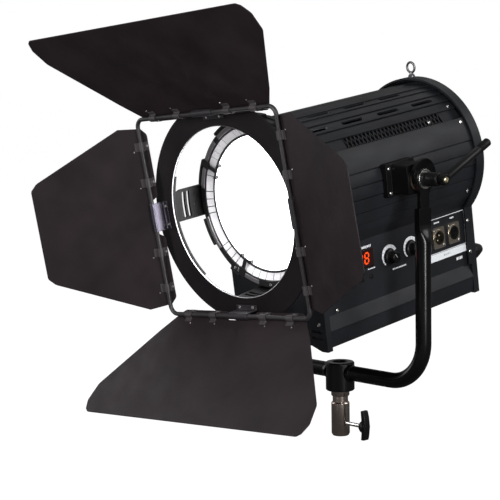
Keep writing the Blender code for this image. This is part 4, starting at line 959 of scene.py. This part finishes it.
def make_connectors():
    for name, along in CONNECTORS.items():
        place = on_panel(along, CONNECTOR_Y)
        body = Shape().flat([rounded(26, 31, 3), circle(10.8)], (0.3, 2.4), place)
        profile = [(10.2, -12), (11.5, -12), (11.5, 2.2), (12.6, 2.3), (12.4, 3.2), (10.2, 3.2)]
        body.lathe(profile, place, 64)
        corners = ((-9.6, 12), (9.6, -12))
        holes = Shape()
        for x, y in corners:
            holes.rod(place @ Vector((x, y, 0)), place @ Vector((x, y, 4)), 1.6, 20)
        body.piece(name + "_shell", "nickel", [name], 0.3, holes)
        heads = [place @ at(x, y, 2.0) for x, y in corners]
        screws(name + "_screws", heads, radius=2.0)
        core = Shape().lathe(band(0, 10.1, -12, -9.5 if name == "dmx_in" else 1.2), place, 48)
        if name == "dmx_in":
            core.box((4, 2, 9), (0, 9.4, -5), place)
        pins, cuts = Shape(), Shape()
        for turn in (30, 150, 270):
            x, y = polar(4.6, turn)
            if name == "dmx_in":
                pins.lathe([(0, -12), (1.6, -12), (1.6, -0.8), (0.9, 0), (0, 0)], place @ at(x, y, 0), 20)
            else:
                cuts.rod(place @ Vector((x, y, -6)), place @ Vector((x, y, 4)), 1.55, 20)
                pins.lathe([(1.1, -8), (1.5, -8), (1.5, -0.6), (1.1, -0.6)], place @ at(x, y, 0), 20)
        core.piece(name + "_insert", "dark", (), 0.3, cuts if name == "dmx_out" else None)
        pins.piece(name + "_contacts", "brass", (), 0)


def make_rear_controls():
    inlet = Shape().flat([rounded(30, 26, 3, 4, INLET), rounded(23, 17, 2, 4, INLET)], (-193.3, -191.1))
    inlet.flat([rounded(24, 20, 2.4, 4, INLET), rounded(21, 15, 2, 4, INLET)], (-191.4, -172))
    inlet.box((22, 16, 2), (*INLET, -172.5))
    inlet.piece("power_inlet_body", "plastic", ["power_inlet"], 0.4)
    blades = Shape()
    for x, y in ((-52, -148), (-40, -148), (-46, -154)):
        blades.box((1.6, 4.2, 16), (x, y, -180))
    blades.piece("power_inlet_pins", "bright", (), 0.3)
    rocker = Shape(body="power_switch")
    outline = arc(10.8, 222, 318, 14) + [(7.8, 2), (-7.8, 2)]
    rocker.flat([outline], (-6.1, 6.1), at(*SWITCH, -183.8) @ ACROSS_X @ turned(z=-90))
    rocker.piece("power_switch_rocker", "plastic", ["power_switch"], 0.5)
    outlines = [rounded(18, 25, 1.5, 3, SWITCH), rounded(13.4, 20.2, 0.8, 3, SWITCH)]
    bezel = Shape().flat(outlines, (-192.2, -190.7))
    bezel.piece("power_switch_bezel", "plastic", (), 0.4)
    knob = Shape(body="focus_drive")
    spot = at(*FOCUS_KNOB, COVER_BACK) @ BACKWARD
    profile = [(4.4, 1), (13, 1), (13.2, 17), (12.4, 20), (9.6, 28), (7, 34.4)]
    knob.lathe(profile + [(4.6, 37), (0, 37.6), (0, 14), (4.4, 14)], spot, 72)
    cuts = flutes(18, (1.2, 1.6, 14), (13.3, 0, 9), spot)
    knob.piece("focus_knob_grip", "knob", ["focus_knob"], 0.3, cuts)


# Barndoors, in the door frame's coordinates
RING_INNER = 118.6
CREASE = 24.6
TIP_BEFORE, TIP_AFTER = 0.022, 0.012
LEAF_FOOT = [(19, 4.2), (21, 2.8), (28, -8), (30, -10), (115.5, -10), (118, -9), (125, -3), (126, -1)]
FLARED_EDGE = [(146.4, 23.4), (148.6, 26), (216.4, 120), (217.8, 123), (221.5, 148.5), (220.8, 151.5)]
FLARED_EDGE += [(215.5, 163.5), (209.5, 167.5), (207, 168)]
TAPERED_EDGE = [(129.5, 30), (74.2, 156.4), (72.4, 159.4), (64.4, 167.2), (61.5, 168)]
LEAF_FRONT = -3.6
LEAF_BACK = -5.1
CLIP_PLACES = (-101, -50, 50, 101)


def make_door_frame():
    ring = Shape(DOOR, "door_frame").lathe(band(RING_INNER, 153, 211.5, 215), steps=200)
    hook = [(127, 204.6), (134.4, 204.6), (134.4, 211.7), (132.2, 211.7), (132.2, 206.8), (127, 206.8)]
    ring.lathe(hook, steps=160)
    ring.piece("door_ring_plate", "ring_door", ["door_ring"], 0.5)
    flange = Shape(DOOR, "door_frame")
    for start, end in ((154, 227), (-47, 26)):
        flange.lathe(band(RING_INNER, 120.2, 207.6, 211.6), steps=40, start=start, end=end)
    flange.piece("door_ring_flange", "ear", (), 0.2)
    # A thin bright band round the ring's inner edge: painted highlight, standing for lens light reflected
    # by that edge
    profile = [(117.9, 213.9), (118.7, 213.9), (118.7, 215.1), (117.9, 214.8)]
    edge = Shape(DOOR, "door_frame").lathe(profile, steps=200)
    edge.piece("door_ring_edge_painted_highlight", "rim", (), 0)
    corner = ROD_HALF - 12
    route = []
    for i, (x, y) in enumerate(((1, 1), (-1, 1), (-1, -1), (1, -1))):
        route += [(*p, ROD_Z) for p in arc(12, 90 * i, 90 * i + 90, 10, (x * corner, y * corner))]
    rod = Shape(DOOR, "door_frame").tube(route, ROD_RADIUS, (0, 0, 1), True, 20)
    rod.piece("door_rod_wire", "rod_paint", ["door_rod"], 0)
    axis = (ROD_HALF, ROD_Z)
    strap = [(128, 215.3), (135.75, 215.3), (135.75, ROD_Z)] + arc(3.25, 180, -70, 24, axis)[1:]
    strap += arc(4.6, -70, 180, 24, axis) + [(134.4, 217.6), (133.6, 216.8), (128, 216.8)]
    for i, side in enumerate(("right", "top", "left", "bottom")):
        place = turned(z=90 * i)
        saddle = Shape(DOOR, "door_frame").flat([strap], (-20, 20), place @ ACROSS_Y)
        # The left saddle takes a lighter metal as a painted highlight; the other saddles keep the dark
        # paint
        look = "saddle_painted_highlight" if side == "left" else "saddle_dark"
        saddle.piece("rod_saddle_" + side, look, (), 0.4)
        spots = [place @ at(131, y, 216.8) for y in (-13, 13)]
        screws("rod_saddle_screws_" + side, spots, DOOR, "door_frame", radius=2.2)


def make_leaf(side):
    hinge = at(*polar(ROD_HALF * MM, LEAF_TURN[side] + 90), ROD_Z * MM)
    place = DOOR @ hinge @ turned(x=LEAF_REST[side], z=LEAF_TURN[side])
    body = "leaf_" + side
    half = LEAF_FOOT + (FLARED_EDGE if side in ("top", "bottom") else TAPERED_EDGE)
    sheet = Shape(place, body).flat([half + mirrored(half)], (LEAF_BACK, LEAF_FRONT))
    bend_sheet(sheet)
    sheet.piece("leaf_sheet_" + side, "door", [body])
    clips, rivets = Shape(place, body), Shape(place, body)
    foot = LEAF_FRONT + 0.1
    omega = [(10, foot), (10, foot + 1.1), (5.4, foot + 1.1), (4.6, foot + 1.8)] + arc(4.6, -15, 195, 20)
    omega += [(-4.6, foot + 1.8), (-5.4, foot + 1.1), (-10, foot + 1.1), (-10, foot), (-4.4, foot)]
    omega += arc(3.35, 205, -25, 20) + [(4.4, foot)]
    for along in CLIP_PLACES:
        clips.flat([omega], (along - 6, along + 6), ACROSS_X)
        rivets.lathe([(0, 1), (1.7, 1), (1.5, 1.7), (0, 2)], at(along, -7.6, foot), 20)
        rivets.lathe([(0, 0), (1.2, 0), (1, 0.6), (0, 0.8)], at(along - 6.6, 12, foot), 16)
    clips.piece("leaf_clips_" + side, "clip", (), 0.3)
    rivets.piece("leaf_rivets_" + side, "rivet", (), 0)


def bend_sheet(sheet):
    """Creases the sheet along a line, and tips the strip by the hinge."""
    bmesh.ops.bisect_plane(
        sheet.bm,
        geom=[*sheet.bm.verts, *sheet.bm.edges, *sheet.bm.faces],
        plane_co=(0, CREASE, 0),
        plane_no=(0, 1, 0),
    )
    for vertex in sheet.bm.verts:
        vertex.co.z += (CREASE - vertex.co.y) * (TIP_BEFORE if vertex.co.y < CREASE else TIP_AFTER)


INSIDE = {
    "aluminium": ("heat_sink", "power_supply"),
    "phosphor": ("led_array",),
    "rod_steel": ("spindle_nut", "focus_spindle", "guide_rod_right", "guide_rod_left"),
    "board": ("control_board",),
    "plastic": ("fan_frame", "fan_rotor"),
}


def finish_inside():
    """Gives the CAD nodes behind the grilles their materials."""
    for look, name in [(look, name) for look, names in INSIDE.items() for name in names]:
        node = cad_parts[name]
        node.data.materials.clear()
        node.data.materials.append(looks[look])
        edge = node.modifiers.new("edge", "BEVEL")
        edge.width = 0.4 * MM
        edge.segments = 2
        edge.limit_method = "ANGLE"


# Stage
ROOM_LIGHT = 0.21
FLOOR_GLOW = 0.96
FLOOR_SHADE = 0.10
FLOOR_RADIUS = 40
FLOOR_LEVEL = -0.0002
LIGHTS = (
    ("front_softbox", (-0.4, -3.2, 1.1), (0, 0, 0.4), (1.2, 1.8), 64),
    ("rear_right_softbox", (2.2, 2.0, 1.9), (0, 0, 0.4), (1.8, 1.4), 24),
    ("right_softbox", (1.5, -1.0, 0.9), (0, 0, 0.3), (0.8, 0.8), 15),
    ("left_softbox", (-2.2, -0.8, 0.9), (0, -0.2, 0.4), (1.0, 1.6), 10.5),
    ("low_right_strip", (1.75, -0.5, 0.25), (0, 0, 0.3), (0.35, 0.45), 13),
    ("rear_overhead", (-0.6, 2.2, 2.4), (0, 0, 0.4), (1.5, 1.0), 3.3),
)
CAMERA_AZIMUTH, CAMERA_ELEVATION, CAMERA_ROLL = (math.radians(a) for a in (46.4065, 6.5423, -1.0285))
CAMERA_LENS = 110.034
CAMERA_DISTANCE = 2.20861
TARGET_SIDEWAYS = -0.128164
TARGET_HEIGHT = 0.274606


def camera_only(graph, low, high):
    """A value that is high where the camera looks straight at it, and low for the light it gives."""
    path = graph.nodes.new("ShaderNodeLightPath")
    value = graph.nodes.new("ShaderNodeMapRange")
    value.inputs["To Min"].default_value = low
    value.inputs["To Max"].default_value = high
    graph.links.new(path.outputs["Is Camera Ray"], value.inputs["Value"])
    return value.outputs["Result"]


def make_stage():
    world = bpy.data.worlds.new("studio")
    bpy.context.scene.world = world
    world.use_nodes = True
    background = world.node_tree.nodes["Background"]
    background.inputs["Color"].default_value = (1, 1, 1, 1)
    world.node_tree.links.new(camera_only(world.node_tree, ROOM_LIGHT, 1.0), background.inputs["Strength"])
    bm = bmesh.new()
    bmesh.ops.create_circle(bm, cap_ends=True, radius=FLOOR_RADIUS, segments=96)
    mesh = bpy.data.meshes.new("floor")
    bm.to_mesh(mesh)
    bm.free()
    floor = bpy.data.objects.new("floor", mesh)
    bpy.context.scene.collection.objects.link(floor)
    paper = glowing("floor_paper", (1, 1, 1), 1, (FLOOR_SHADE, FLOOR_SHADE, FLOOR_SHADE), 0.8)
    strength = paper.node_tree.nodes["Principled BSDF"].inputs["Emission Strength"]
    paper.node_tree.links.new(camera_only(paper.node_tree, 0.0, FLOOR_GLOW), strength)
    mesh.materials.append(paper)
    floor.location.z = FLOOR_LEVEL
    for name, place, aim, size, power in LIGHTS:
        light = bpy.data.lights.new(name, "AREA")
        light.shape = "RECTANGLE"
        light.size, light.size_y = size
        light.energy = power
        lamp = bpy.data.objects.new(name, light)
        bpy.context.scene.collection.objects.link(lamp)
        lamp.location = place
        lamp.rotation_euler = (Vector(aim) - Vector(place)).to_track_quat("-Z", "Y").to_euler()
    bpy.context.scene.view_settings.view_transform = "Standard"


def make_camera():
    right = Vector((math.cos(CAMERA_AZIMUTH), math.sin(CAMERA_AZIMUTH), 0))
    level = Vector((right.y, -right.x, 0))
    back = level * math.cos(CAMERA_ELEVATION) + Vector((0, 0, math.sin(CAMERA_ELEVATION)))
    up = back.cross(right)
    camera = bpy.data.cameras.new("camera")
    camera.lens = CAMERA_LENS
    obj = bpy.data.objects.new("camera", camera)
    bpy.context.scene.collection.objects.link(obj)
    x_axis = right * math.cos(CAMERA_ROLL) + up * math.sin(CAMERA_ROLL)
    y_axis = up * math.cos(CAMERA_ROLL) - right * math.sin(CAMERA_ROLL)
    turn = Matrix((x_axis, y_axis, back)).transposed().to_4x4()
    target = right * TARGET_SIDEWAYS + Vector((0, 0, TARGET_HEIGHT))
    obj.matrix_world = Matrix.Translation(target + back * CAMERA_DISTANCE) @ turn
    bpy.context.scene.camera = obj


make_spigot()
make_yoke()
make_pivots()
make_tilt_lever()
make_casing()
make_front_plate()
make_rear_cover()
make_eye_bolt()
make_optics()
make_controls()
make_connectors()
make_rear_controls()
make_door_frame()
for leaf_side in LEAF_REST:
    make_leaf(leaf_side)
finish_inside()
make_stage()
make_camera()
